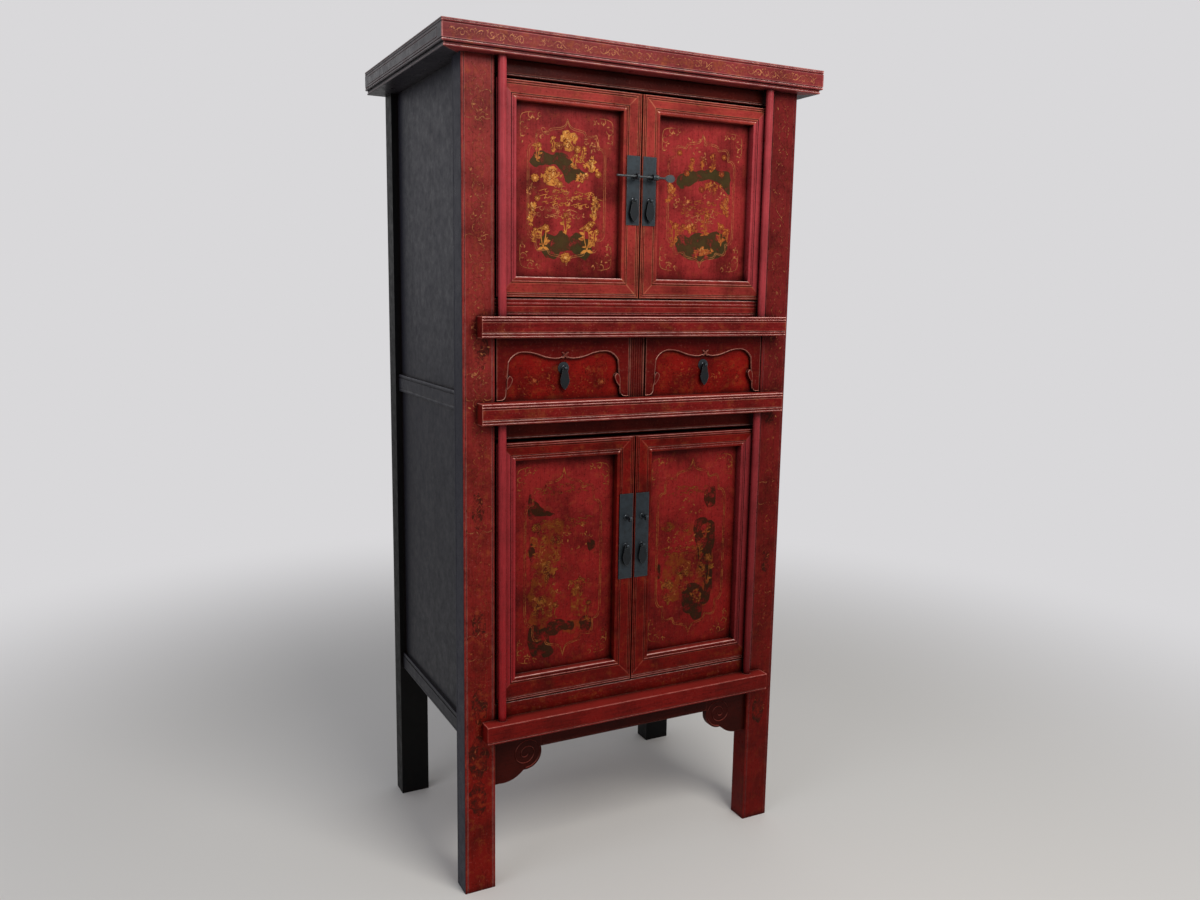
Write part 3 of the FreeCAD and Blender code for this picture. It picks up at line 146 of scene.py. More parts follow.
# Camera: eye level beside the left of the front, tilted slightly down.
EYE = Vector((-1.1188, -2.2623, 1.3785))
YAW, PITCH, ROLL = math.radians(27.20), math.radians(-9.15), math.radians(0.91)
ahead = Vector((math.sin(YAW) * math.cos(PITCH), math.cos(YAW) * math.cos(PITCH), math.sin(PITCH)))
level = Vector((math.cos(YAW), -math.sin(YAW), 0))
above = level.cross(ahead)
right = level * math.cos(ROLL) + above * math.sin(ROLL)
up = above * math.cos(ROLL) - level * math.sin(ROLL)
lens = bpy.data.cameras.new("camera")
lens.sensor_width = 36
lens.lens = 29.81
camera = bpy.data.objects.new("camera", lens)
turn = Matrix((right, up, -ahead)).transposed()
camera.matrix_world = Matrix.Translation(EYE) @ turn.to_4x4()
scene.collection.objects.link(camera)
scene.camera = camera


# ---------------------------------------------------------------- corner posts
# Softwood posts, their fronts under many coats of red lacquer, rubbed and waxed; their outer
# sides are black like the panels beside them. Handling has worn their edges to a pink ground.

MM = 0.001
# Sizes of the marks in old lacquer, as scales of a noise: one mark to so many millimetres.
# Bristle marks are drawn 3.3 mm apart, coarser than real ones, so that they show.
CLOUD, FLECK, RUB = 1 / (90 * MM), 1 / (4.4 * MM), 1 / (22 * MM)
BRISTLE, STROKE = 1 / (3.3 * MM), 1 / (50 * MM)
# The brush was drawn upwards, across or backwards: long marks lie along Z, X or Y.
UPWARDS = (BRISTLE, BRISTLE, STROKE)
ACROSS = (STROKE, BRISTLE, BRISTLE)
BACKWARDS = (BRISTLE, STROKE, BRISTLE)
# Width of the rubbed edge along a moulding, and of the painted shade line in its quirks.
RUBBED_EDGE, QUIRK_SHADE = 2.6 * MM, 3 * MM
# Levels in metres between which the tone of a coat drifts from low to high, a painted fall of light that is
# brighter towards the head.
FOOT_LEVEL, HEAD_LEVEL = 0.3, 1.6


def lacquer(name, low, high, flaw, worn="C4706A", wear=1.0, rough=0.3, shine=0.05, mottle=0.5, gilt=0.0,
            paint=None, kept=0.6, cover=0.9, streaks=0.7, ledge="AA3830", glint="F4C0B6", shade=24,
            brush=UPWARDS):
    """Lacquer brushed on wood and rubbed by use: deep and satin, clouded, with pale worn ridges.

    Its colour drifts from low near the floor to high near the head: painted light, brighter higher
    up. The flaw is the tone of its clouds, bristle marks and pits, and gilt is its share of gold
    dust. Ridges wear to the worn tone, most on their upper sides, partly as painted light from
    above; upper sides of nosings take the glint, a painted highlight; ledges take their own tone,
    wear and dust with painted light from above. Painted shade reaches shade mm out of deep
    corners and lies in a thin line in each quirk. With a paint, it is the finish of a painted shape
    instead, rubbed away in flecks until only a part is kept.
    """
    material, tree, shader = new_finish(name)
    place = add(tree, "TexCoord").outputs["Object"]
    height = add(tree, "SeparateXYZ", {0: place}).outputs["Z"]
    rise = add(tree, "MapRange", {0: height, 1: FOOT_LEVEL, 2: HEAD_LEVEL}).outputs[0]
    bristles = add(tree, "Mapping", {0: place, 3: brush}).outputs[0]
    clouds, flecks, rubs, brushed = (
        add(tree, "TexNoise", {"Vector": at, "Scale": scale, "Detail": detail, "Roughness": grain}).outputs[0]
        for at, scale, detail, grain in (
            (place, CLOUD, 5.0, 0.6),
            (place, FLECK, 4.0, 0.75),
            (place, RUB, 6.0, 0.72),
            (bristles, 1.0, 3.0, 0.6),
        )
    )

    # The coat itself, then its clouds, bristle marks, dark pits, pale scuffs and bloom of gold dust.
    base = add(tree, "Mix", {0: rise, 6: srgb(low), 7: srgb(high)}, data_type="RGBA").outputs[2]
    marks = [
        (clouds, 0.42, 0.66, mottle, srgb(flaw)),
        (brushed, 0.48, 0.72, 0.4 * streaks, srgb(flaw, 0.5)),
        (flecks, 0.56, 0.68, mottle, srgb(flaw, 0.4)),
        (flecks, 0.4, 0.28, 0.2 * wear, srgb(worn)),
    ]
    if gilt:
        marks.append((rubs, 0.53, 0.68, gilt, srgb("9C5A28")))
    for noise, clear, full, amount, tone in marks:
        mark = add(tree, "MapRange", {0: noise, 1: clear, 2: full, 4: amount}).outputs[0]
        base = add(tree, "Mix", {0: mark, 6: base, 7: tone}, data_type="RGBA").outputs[2]
    if paint:
        dulled = add(tree, "MapRange", {0: rubs, 1: 0.36, 2: 0.64}).outputs[0]
        tone = add(tree, "Mix", {0: dulled, 6: srgb(paint), 7: srgb(paint, 0.5)}, data_type="RGBA").outputs[2]
        broken = add(tree, "Mix", {0: 0.35, 2: rubs, 3: flecks}).outputs[0]
        bare, whole = 0.39 + 0.3 * kept, 0.3 + 0.3 * kept
        left = add(tree, "MapRange", {0: broken, 1: bare, 2: whole, 4: cover}).outputs[0]
        base = add(tree, "Mix", {0: left, 6: base, 7: tone}, data_type="RGBA").outputs[2]
    else:
        # Wear on fine beads along their crests, strongest on upper sides: partly painted light from
        # above. Broad nosings take the glint along their upper sides: a painted highlight.
        inside = add(tree, "AmbientOcclusion", {"Distance": RUBBED_EDGE}, samples=8, inside=True,
                     only_local=True)
        ridge_wear_and_light = add(tree, "MapRange", {0: inside.outputs["AO"], 1: 0.9, 2: 0.6}).outputs[0]
        patchy = add(tree, "MapRange", {0: rubs, 1: 0.36, 2: 0.56, 3: 0.35 * wear, 4: wear}).outputs[0]
        facing = add(tree, "NewGeometry").outputs["Normal"]
        upward = add(tree, "SeparateXYZ", {0: facing}).outputs["Z"]
        lit = add(tree, "MapRange", {0: upward, 1: -0.05, 2: 0.4, 3: 0.28, 4: 1.0}).outputs[0]
        ridge_wear_and_light = add(tree, "Math", {0: ridge_wear_and_light, 1: lit}, operation="MULTIPLY").outputs[0]
        rounded = add(tree, "MapRange", {0: inside.outputs["AO"], 1: 0.97, 2: 0.86}).outputs[0]
        broad = add(tree, "MapRange", {0: inside.outputs["AO"], 1: 0.52, 2: 0.72, 3: 0.25}).outputs[0]
        nosing = add(tree, "Math", {0: rounded, 1: broad}, operation="MULTIPLY").outputs[0]
        painted_glint = add(tree, "MapRange", {0: upward, 1: 0.15, 2: 0.5}).outputs[0]
        painted_glint = add(tree, "Math", {0: nosing, 1: painted_glint}, operation="MULTIPLY").outputs[0]
        for mask, tone in ((ridge_wear_and_light, worn), (painted_glint, glint)):
            rubbed = add(tree, "Math", {0: mask, 1: patchy}, operation="MULTIPLY", use_clamp=True).outputs[0]
            base = add(tree, "Mix", {0: rubbed, 6: base, 7: srgb(tone)}, data_type="RGBA").outputs[2]
        # Ledges: upward faces take the ledge tone, wear and dust that is partly painted light from above.
        above = add(tree, "MapRange", {0: upward, 1: 0.6, 2: 0.95, 4: 0.55 * min(wear, 1.0)}).outputs[0]
        base = add(tree, "Mix", {0: above, 6: base, 7: srgb(ledge)}, data_type="RGBA").outputs[2]
        # Painted shade: soft in deep corners and a sharp dark line in each quirk.
        for reach, clear, full, amount in ((shade * MM, 0.84, 0.38, 0.94), (QUIRK_SHADE, 0.82, 0.5, 0.658)):
            open_air = add(tree, "AmbientOcclusion", {"Distance": reach}, samples=6).outputs["AO"]
            corner_shade = add(tree, "MapRange", {0: open_air, 1: clear, 2: full, 4: amount}).outputs[0]
            base = add(tree, "Mix", {0: corner_shade, 6: base, 7: srgb("0A0302")}, data_type="RGBA").outputs[2]
    tree.links.new(base, shader.inputs["Base Color"])
    shader.inputs["Specular IOR Level"].default_value = shine
    gloss = add(tree, "MapRange", {0: rubs, 1: 0.3, 2: 0.7, 3: rough - 0.08, 4: rough + 0.16}).outputs[0]
    tree.links.new(gloss, shader.inputs["Roughness"])
    relief = add(tree, "Math", {0: brushed, 1: flecks}, operation="ADD").outputs[0]
    bump = add(tree, "Bump", {"Strength": 0.3 * streaks, "Distance": 0.5 * MM, "Height": relief})
    tree.links.new(bump.outputs[0], shader.inputs["Normal"])
    return material


def dress(material, *names):
    """Gives CAD nodes a finish in place of their plain one."""
    for name in names:
        for slot in NODES[name].material_slots:
            slot.material = material


def coat_of(material):
    """Node tree, shader and base colour of a finish, for a further coat over it."""
    shader = [node for node in material.node_tree.nodes if node.type == "BSDF_PRINCIPLED"][0]
    return material.node_tree, shader, shader.inputs["Base Color"].links[0].from_socket


# Black lacquer: a dull blue-black with bare grey edges.
BLACK = dict(low="17171D", high="23232C", flaw="13131A", worn="5A565E", ledge="3A3A42", glint="77747C")
# Red lacquer: deep wine red with a little gold dust and pink arrises. The right post's copy is darker all
# over: painted shade.
POSTS = {
    "left": dict(low="72130C", high="862E2B", flaw="2E0C06", worn="CC8078", wear=1.2, mottle=0.58,
                 gilt=0.22),
    "right": dict(low="610F0A", high="6E1E1E", flaw="2A0906", worn="B4625E", wear=0.9, mottle=0.55,
                  gilt=0.08),
}
# At the posts' outer corners the red of the front ends and the black of the side begins.
SIDE_STARTS, SIDE_ENDS = 421.3 * MM, 422.1 * MM
for hand, tones in POSTS.items():
    post_red = lacquer(f"rubbed_red_post_lacquer_{hand}", **tones)
    tree, shader, red_coat = coat_of(post_red)
    across = add(tree, "SeparateXYZ", {0: add(tree, "TexCoord").outputs["Object"]}).outputs["X"]
    outward = add(tree, "Math", {0: across}, operation="ABSOLUTE").outputs[0]
    side_face = add(tree, "MapRange", {0: outward, 1: SIDE_STARTS, 2: SIDE_ENDS}).outputs[0]
    both = add(tree, "Mix", {0: side_face, 6: red_coat, 7: srgb("292932")}, data_type="RGBA").outputs[2]
    tree.links.new(both, shader.inputs["Base Color"])
    dress(post_red, f"post_front_{hand}")


# ---------------------------------------------------------------- gilt vine on the posts
# Powdered gold brushed on tacky lacquer, duller than leaf. A winding vine runs up each post;
# over brown-black patches most of it has been rubbed away.

# Each layer lies a coat above the one before, and within a layer each shape has its own hair of
# depth, in mm, so that no two shapes lie in one plane.
COAT, HAIR, HAIRS = 0.12, 0.004, 25


class Painting:
    """Flat strokes and fills on a face of the front, by layer; places are in mm from (x, z)."""

    def __init__(self, x, z, face):
        self.x = x
        self.z = z
        self.face = face
        self.layers = {}
        self.shapes = 0

    def layer(self, name):
        """The layer's corners and faces, and the next shape's depth in it."""
        self.shapes += 1
        return (*self.layers.setdefault(name, ([], [])), HAIR * (self.shapes % HAIRS))

    def fill(self, name, outline):
        corners, faces, depth = self.layer(name)
        start = len(corners)
        corners.extend((u, v, depth) for u, v in outline)
        faces.append(tuple(range(start, start + len(outline))))

    def stroke(self, name, line, width, taper=0.35):
        """Brush line that thins towards both ends."""
        corners, faces, depth = self.layer(name)
        count = len(line)
        for number, (u, v) in enumerate(line):
            before = line[max(number - 1, 0)]
            after = line[min(number + 1, count - 1)]
            du, dv = after[0] - before[0], after[1] - before[1]
            length = math.hypot(du, dv) or 1
            share = number / (count - 1)
            half = width / 2 * (taper + (1 - taper) * math.sin(math.pi * share) ** 0.5)
            corners.append((u - dv / length * half, v + du / length * half, depth))
            corners.append((u + dv / length * half, v - du / length * half, depth))
            if number:
                last = len(corners)
                faces.append((last - 4, last - 3, last - 1, last - 2))

    def lay(self, name, finishes, body):
        """Makes each layer that has shapes a piece, from the lowest up."""
        for order, (layer, finish) in enumerate(finishes.items(), start=1):
            if layer not in self.layers:
                continue
            flat, faces = self.layers[layer]
            y = self.face - COAT * order
            corners = [((self.x + u) * MM, (y - depth) * MM, (self.z + v) * MM) for u, v, depth in flat]
            mesh_piece(f"{name}_{layer}", corners, faces, finish, body)


def smooth(points, closed=False, steps=6):
    """Soft line through the points."""
    count = len(points)
    spans = count if closed else count - 1
    line = []
    for span in range(spans):
        if closed:
            around = [points[(span + shift) % count] for shift in (-1, 0, 1, 2)]
        else:
            around = [points[min(max(span + shift, 0), count - 1)] for shift in (-1, 0, 1, 2)]
        for step in range(steps):
            share = step / steps
            weights = (
                -share / 2 + share ** 2 - share ** 3 / 2,
                1 - 2.5 * share ** 2 + 1.5 * share ** 3,
                share / 2 + 2 * share ** 2 - 1.5 * share ** 3,
                (share ** 3 - share ** 2) / 2,
            )
            line.append(tuple(sum(w * p[axis] for w, p in zip(weights, around)) for axis in (0, 1)))
    if not closed:
        line.append(points[-1])
    return line


def curl(u, v, radius, start, sweep, steps=14):
    """Spiral line that winds inwards; angles in degrees."""
    line = []
    for step in range(steps + 1):
        share = step / steps
        angle = math.radians(start + sweep * share)
        reach = radius * (1 - 0.78 * share)
        line.append((u + reach * math.cos(angle), v + reach * math.sin(angle)))
    return line


def leaf(u, v, length, angle, width, bend=0.15):
    """Outline of a pointed leaf that springs from (u, v)."""
    along = (math.cos(math.radians(angle)), math.sin(math.radians(angle)))
    outline = []
    for side in (1, -1):
        shares = (0, 0.2, 0.45, 0.72, 1) if side > 0 else (0.72, 0.45, 0.2)
        for share in shares:
            out = width / 2 * math.sin(math.pi * share ** 0.8) * side + bend * length * share ** 2
            outline.append((u + along[0] * length * share - along[1] * out,
                            v + along[1] * length * share + along[0] * out))
    return outline


def lump(u, v, wide, high, dice, lobes=7):
    """Soft uneven outline, wide and high measured across it."""
    points = []
    for step in range(lobes * 2):
        angle = math.pi * step / lobes
        reach = dice.uniform(0.8, 1.0) if step % 2 else dice.uniform(0.92, 1.12)
        points.append((u + wide / 2 * reach * math.cos(angle), v + high / 2 * reach * math.sin(angle)))
    return smooth(points, closed=True, steps=3)


def running_scroll(art, layer, start, end, half, width, upright, seed):
    """Vine from start to end: a winding stem, two curls in each bend and seven leaves."""
    dice = random.Random(seed)
    bends = max(2, round((end - start) / (half * 1.9)))
    step = (end - start) / bends

    def turned(line):
        return [(t, s) for s, t in line] if upright else line

    stem = [(start + step * bend, half * 0.6 * (1 if bend % 2 else -1)) for bend in range(bends + 1)]
    art.stroke(layer, turned(smooth(stem)), width, taper=0.9)
    for bend in range(bends):
        side = 1 if bend % 2 else -1
        s, t = start + step * (bend + 0.02), -half * 0.18 * side
        sweep = dice.uniform(300, 380) * side
        art.stroke(layer, turned(curl(s, t, half * 0.66, 90 * side, -sweep, 16)), width)
        small = curl(s + step * 0.5, half * 0.55 * side, half * 0.36, -90 * side, sweep, 10)
        art.stroke(layer, turned(small), width * 0.8)
        for _ in range(7):
            root = (s + dice.uniform(-0.5, 0.5) * step, t + dice.uniform(-0.8, 0.8) * half)
            size = half * dice.uniform(0.26, 0.46)
            art.fill(layer, turned(leaf(*root, size, dice.uniform(0, 360), size * 0.42)))


# The vine's middle line, the face it lies on and its levels, in mm.
POST_MIDDLE, POST_FACE = 385.5, -266.0
VINE_FOOT, GOLD_STARTS, VINE_HEAD = 300, 1090, 1830
CUSPED_ARC = [(-29, 0), (-27, 7), (-17, 9), (-9, 5), (-4, 9), (0, 15), (4, 9), (9, 5), (17, 9), (27, 7),
              (29, 0)]
# A pair of cusped arcs breaks the vine at each of these levels.
CUSP_LEVELS = range(590, 1800, 290)
# Share of the gold that is left on each post.
GOLD_KEPT = {"left": 0.45, "right": 0.35}
# Brown-black patches: level, width and height.
POST_SHADE = {
    "left": [(230, 44, 90), (330, 50, 110), (450, 40, 90), (640, 34, 70), (900, 30, 80), (1250, 34, 90)],
    "right": [(300, 36, 80), (700, 28, 60), (1080, 30, 70)],
}
for side, hand in ((-1, "left"), (1, "right")):
    dice = random.Random(40 + side)
    vine = Painting(POST_MIDDLE * side, 0, POST_FACE)
    running_scroll(vine, "faint", VINE_FOOT, GOLD_STARTS, half=22, width=1.1, upright=True, seed=12 + side)
    running_scroll(vine, "gold", GOLD_STARTS, VINE_HEAD, half=22, width=1.1, upright=True, seed=14 + side)
    for level_at in CUSP_LEVELS:
        for facing in (1, -1):
            arc = [(u, level_at + (20 + v) * facing) for u, v in CUSPED_ARC]
            vine.stroke("gold", smooth(arc, steps=3), 1.3, taper=0.9)
    for level_at, wide, tall in POST_SHADE[hand]:
        vine.fill("shade", lump(dice.uniform(-9, 9), level_at, wide, tall, dice, 9))
    vine.lay(f"post_vine_{hand}", {
        "shade": lacquer(f"brown_black_on_post_{hand}", **POSTS[hand], paint="1E160C", kept=0.52, cover=0.8),
        "faint": lacquer(f"gold_worn_off_post_{hand}", **POSTS[hand], paint="8C4A2A", kept=0.36, cover=0.8),
        "gold": lacquer(f"gold_rubbed_from_post_{hand}", **POSTS[hand], paint="A86A42", kept=GOLD_KEPT[hand]),
    }, "carcass")


# ---------------------------------------------------------------- sides, back and top
# Frame and panel in plain softwood under thin black lacquer, dry and dull. Upright brush
# marks and fine cracks show where the boards have moved.

DRY = dict(**BLACK, wear=0.3, rough=0.42, shine=0.2, mottle=0.2, streaks=0.12)
dress(lacquer("dry_black_lacquer", **DRY), "side_rails_left", "side_rails_right", "back_rails")
# Cracks run up the boards 170 mm apart, bend by some millimetres and are about 2 mm wide.
CRACK_SPACING, WANDER, BEND_LENGTH = 170 * MM, 20 * MM, 200 * MM
CRACK_CORE, CRACK_EDGE = 0.5 * MM, 1.6 * MM
for name, axis in (("side_panels_left", "Y"), ("side_panels_right", "Y"), ("back_panels", "X"),
                   ("top_boards", "Y")):
    cracked = lacquer(f"cracked_black_{name}", **DRY)
    tree, shader, coat = coat_of(cracked)
    place = add(tree, "TexCoord").outputs["Object"]
    wander = add(tree, "TexNoise", {"Vector": place, "Scale": 1 / BEND_LENGTH, "Detail": 2.0}).outputs[0]
    across = add(tree, "SeparateXYZ", {0: place}).outputs[axis]
    across = add(tree, "Math", {0: wander, 1: WANDER, 2: across}, operation="MULTIPLY_ADD").outputs[0]
    apart = add(tree, "Math", {0: across, 1: CRACK_SPACING / 2}, operation="PINGPONG").outputs[0]
    crack = add(tree, "MapRange", {0: apart, 1: CRACK_EDGE, 2: CRACK_CORE, 4: 0.75}).outputs[0]
    split = add(tree, "Mix", {0: crack, 6: coat, 7: srgb("060608")}, data_type="RGBA").outputs[2]
    tree.links.new(split, shader.inputs["Base Color"])
    dress(cracked, name)
# The back posts stand in deep shade, painted into their lacquer: nearly black, with no sheen.
shaded_black_coat = lacquer("shaded_black_lacquer", low="040404", high="0E0E10", flaw="030303", worn="2E2A2A",
                     wear=0.4, rough=0.45, shine=0.12)
dress(shaded_black_coat, "post_back_left", "post_back_right")


# ---------------------------------------------------------------- rails, sills and friezes
# Moulded hardwood rails that stand out from the front and lap over the posts. Hands and
# cloths have worn their beads to the pink ground coat.

# Rail lacquer is a deep wine red with long brush marks and pink beads. The sills are less
# handled and brighter, the base rail is scuffed on its ledge, which also takes painted light from
# above, and the friezes and apron are darkened with painted shade under the parts above them.
RAIL = dict(low="640E08", flaw="2C0906", worn="D88A76", wear=1.3, gilt=0.2, streaks=1.1, brush=ACROSS)
dress(lacquer("rubbed_red_rail_lacquer", high="761B1B", **RAIL), "waist_rail_upper", "waist_rail_lower")
dress(lacquer("rubbed_red_sill_lacquer", high="8A2624", **RAIL), "sill_upper", "sill_lower")
dress(lacquer("kicked_red_base_rail_lacquer", low="6C120D", high="761B1B", flaw="2C0906", worn="C06A5C",
              wear=0.55, glint="E09A8E", ledge="B83E36", streaks=1.1, brush=ACROSS), "base_rail")
dress(lacquer("dim_red_frieze_lacquer", low="500D06", high="4C120C", flaw="220703", worn="C07464",
              brush=ACROSS), "frieze_upper", "frieze_lower")
dress(lacquer("shaded_red_apron_lacquer", low="380C07", high="541511", flaw="1C0704", worn="80382E", wear=0.6,
              glint="9C5A50", brush=ACROSS), "apron", "apron_brackets")


# ---------------------------------------------------------------- cornice
# Mitred moulded frame over the posts. Its front is red, with a gilt vine along the flat
# between its beads; its returns are black.

# Greyed red with broad pale wear on the front and a bright painted highlight on its bead crests;
# brown-black with a little red on the returns.
CORNICE = dict(low="641414", high="823233", flaw="340E0E", worn="D8908A", wear=1.3, gilt=0.4,
               glint="FFDCD4", brush=ACROSS)
dress(lacquer("rubbed_red_cornice_lacquer", **CORNICE), "cornice_front")
dress(lacquer("black_over_red_return_lacquer", low="2A282C", high="322F34", flaw="1C1A1E", worn="8A5A56",
              wear=0.9, ledge="44424A", streaks=0.2, shine=0.2, brush=BACKWARDS), "cornice_returns")
cornice_gold = lacquer("gold_rubbed_from_cornice", **CORNICE, paint="BC7A50", kept=0.48)
# The flat's middle level, its face and half its length, in mm.
FLAT_LEVEL, FLAT_FACE, FLAT_HALF_LENGTH = 1877.0, -299.0, 452
front_vine = Painting(0, FLAT_LEVEL, FLAT_FACE)
running_scroll(front_vine, "gold", -FLAT_HALF_LENGTH, FLAT_HALF_LENGTH, half=11, width=1.5, upright=False,
               seed=77)
front_vine.lay("cornice_vine", {"gold": cornice_gold}, "carcass")


# ---------------------------------------------------------------- inside woodwork
# Floors, shelf, deck and drawer boxes in planed softwood that was never lacquered, let into the
# frame or nailed to it. It has gone brown with age and dust.

def bare_timber(name, pale, dark):
    """Old planed softwood, dry and matt: growth rings about 8 mm apart, in soft brown streaks.

    They run across the cabinet, and front to back on boards that face its sides.
    """
    material, tree, shader = new_finish(name)
    place = add(tree, "TexCoord").outputs["Object"]
    facing = add(tree, "SeparateXYZ", {0: add(tree, "NewGeometry").outputs["Normal"]}).outputs["X"]
    facing = add(tree, "Math", {0: facing}, operation="ABSOLUTE").outputs[0]
    sideways = add(tree, "Math", {0: facing, 1: 0.6}, operation="GREATER_THAN").outputs[0]
    streak, growth_ring = 1 / (93 * MM), 1 / (8 * MM)
    across_run = add(tree, "Mapping", {0: place, 3: (streak, growth_ring, growth_ring)}).outputs[0]
    depth_run = add(tree, "Mapping", {0: place, 3: (growth_ring, streak, growth_ring)}).outputs[0]
    along = add(tree, "Mix", {0: sideways, 4: across_run, 5: depth_run}, data_type="VECTOR").outputs[1]
    rings = add(tree, "TexNoise", {"Vector": along, "Scale": 1.0, "Detail": 6.0, "Distortion": 0.6})
    rings = rings.outputs[0]
    share = add(tree, "MapRange", {0: rings, 1: 0.35, 2: 0.65}).outputs[0]
    base = add(tree, "Mix", {0: share, 6: srgb(pale), 7: srgb(dark)}, data_type="RGBA").outputs[2]
    tree.links.new(base, shader.inputs["Base Color"])
    shader.inputs["Roughness"].default_value = 0.7
    bump = add(tree, "Bump", {"Strength": 0.2, "Distance": 0.6 * MM, "Height": rings})
    tree.links.new(bump.outputs[0], shader.inputs["Normal"])
    return material


old_pine = bare_timber("old_planed_pine", "8A6240", "5E3F28")
dress(old_pine, "floor_lower", "floor_upper", "shelf", "bearers", "drawer_deck", "drawer_guides",
      "drawer_left_box", "drawer_right_box")


# ---------------------------------------------------------------- doors
# Mitred frames round deep-set floating panels. The outer stile is joined to a round pole that
# turns in the rails. The frames are a browner red than the panels, with traces of gold.

FRAMES = {
    "upper": lacquer("rubbed_red_frame_lacquer", low="660F09", high="96332E", flaw="380E0A", worn="CC8460",
                     wear=1.1, gilt=0.15, mottle=0.6),
    "lower": lacquer("dark_red_frame_lacquer", low="600B06", high="761713", flaw="260704", worn="B05846",
                     wear=0.9, gilt=0.14, mottle=0.65),
}
# Poles are polished by hands: a smooth rose red, dimmer where the right one stands in shade.
HANDLED = dict(wear=0.5, rough=0.26, shine=0.1, mottle=0.3)
POLES = {
    "left": lacquer("handled_red_pole_lacquer", low="840F12", high="A63C42", flaw="40100F", worn="B4585A",
                    **HANDLED),
    "right": lacquer("dim_red_pole_lacquer", low="520808", high="A43B40", flaw="3A0E0D", worn="A84E50",
                     **HANDLED),
}
# Panels are a livelier red than their frames, clouded dark and shaded along their walls.
PANEL = dict(low="700C06", high="922B2B", flaw="3A0A08", wear=0.8, mottle=0.72)
panel_red = lacquer("bright_red_panel_lacquer", **PANEL, gilt=0.12, shade=46)
for tier, finish in FRAMES.items():
    # Brush marks run up the stiles and across the members above and below the panel.
    low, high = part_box(f"door_{tier}_left_panel")
    tree = finish.node_tree
    height = add(tree, "SeparateXYZ", {0: add(tree, "TexCoord").outputs["Object"]}).outputs["Z"]
    off_middle = add(tree, "Math", {0: height, 1: (low.z + high.z) / 2}, operation="SUBTRACT").outputs[0]
    off_middle = add(tree, "Math", {0: off_middle}, operation="ABSOLUTE").outputs[0]
    on_rail = add(tree, "Math", {0: off_middle, 1: (high.z - low.z) / 2}, operation="GREATER_THAN").outputs[0]
    along = add(tree, "Mix", {0: on_rail, 4: UPWARDS, 5: ACROSS}, data_type="VECTOR").outputs[1]
    brush = [node for node in tree.nodes if node.type == "MAPPING"][0]
    tree.links.new(along, brush.inputs["Scale"])
    for hand in ("left", "right"):
        door = f"door_{tier}_{hand}"
        dress(finish, door + "_frame")
        dress(POLES[hand], door + "_hinge_stile")
        dress(panel_red, door + "_panel")


# ---------------------------------------------------------------- painted door panels
# Each panel carries a cusped gold border with scrolls at its corners. Inside it rocks, peonies
# and leaves stand on olive-black grounds, with bands of cloud between. The upper pair is brighter.

def ring(u, v, reach, phase, count):
    """Evenly spaced places round a slightly squat ring, each with its angle in degrees."""
    for number in range(count):
        angle = phase + 360 * number / count
        turned = math.radians(angle)
        yield u + reach * math.cos(turned), v + 0.94 * reach * math.sin(turned), angle


def blossom(art, u, v, radius, petals, seed):
    """Peony seen from the front: two rings of crimped petals round a pale heart."""
    dice = random.Random(seed)
    for reach, size, count in ((0.66, 0.7, petals + 2), (0.36, 0.58, petals)):
        for x, z, angle in ring(u, v, radius * reach, dice.uniform(0, 60), count):
            art.fill("gold", lump(x, z, radius * size, radius * size * 0.86, dice, 4))
            art.stroke("ink", curl(x, z, radius * size * 0.5, angle - 110, 210, 7), 1.0)
    for x, z, angle in ring(u, v, radius * 0.14, 20, 3):
        art.fill("light", lump(x, z, radius * 0.3, radius * 0.26, dice, 3))


def rock(art, u, v, wide, high, seed):
    """Garden rock: a heap of rounded masses, each with a hooked fold, and a few pale caps."""
    dice = random.Random(seed)
    for step in range(7):
        x = u + wide * dice.uniform(-0.28, 0.28)
        z = v + high * (step / 6 - 0.5) * 0.66
        art.fill("gold", lump(x, z, wide * dice.uniform(0.42, 0.7), high * dice.uniform(0.28, 0.44), dice, 5))
        sweep = dice.choice((-1, 1)) * dice.uniform(150, 300)
        for reach in (0.12, 0.22):
            hook = curl(x + dice.uniform(-4, 4), z, min(wide, high) * reach, dice.uniform(0, 360), sweep, 9)
            art.stroke("ink", hook, 1.1)
        art.fill("light", leaf(x + dice.uniform(-4, 4), z, 8, dice.uniform(30, 150), 3.4))
        turn = dice.uniform(0, 360)
        edge = (x + wide * 0.3 * math.cos(math.radians(turn)), z + high * 0.2 * math.sin(math.radians(turn)))
        for fan in (-40, 0, 40):
            art.fill("gold", leaf(*edge, dice.uniform(6, 10), turn + fan, 3.2))


def border(art, half, high, width):
    """Cusped border of two fine lines: an ogee peak at head and foot, lobes at each shoulder."""
    quarter = [(1, 0), (1, 0.48), (0.98, 0.6), (0.9, 0.66), (0.8, 0.67), (0.8, 0.76), (0.74, 0.83),
               (0.62, 0.83), (0.5, 0.82), (0.44, 0.88), (0.3, 0.9), (0.14, 0.92), (0.05, 0.96), (0, 1.04)]
    for inset in (0, 4):
        for across in (-1, 1):
            for upward in (-1, 1):
                corners = [(u * (half - inset) * across, v * (high - inset) * upward) for u, v in quarter]
                art.stroke("border", smooth(corners, steps=4), width, taper=0.85)


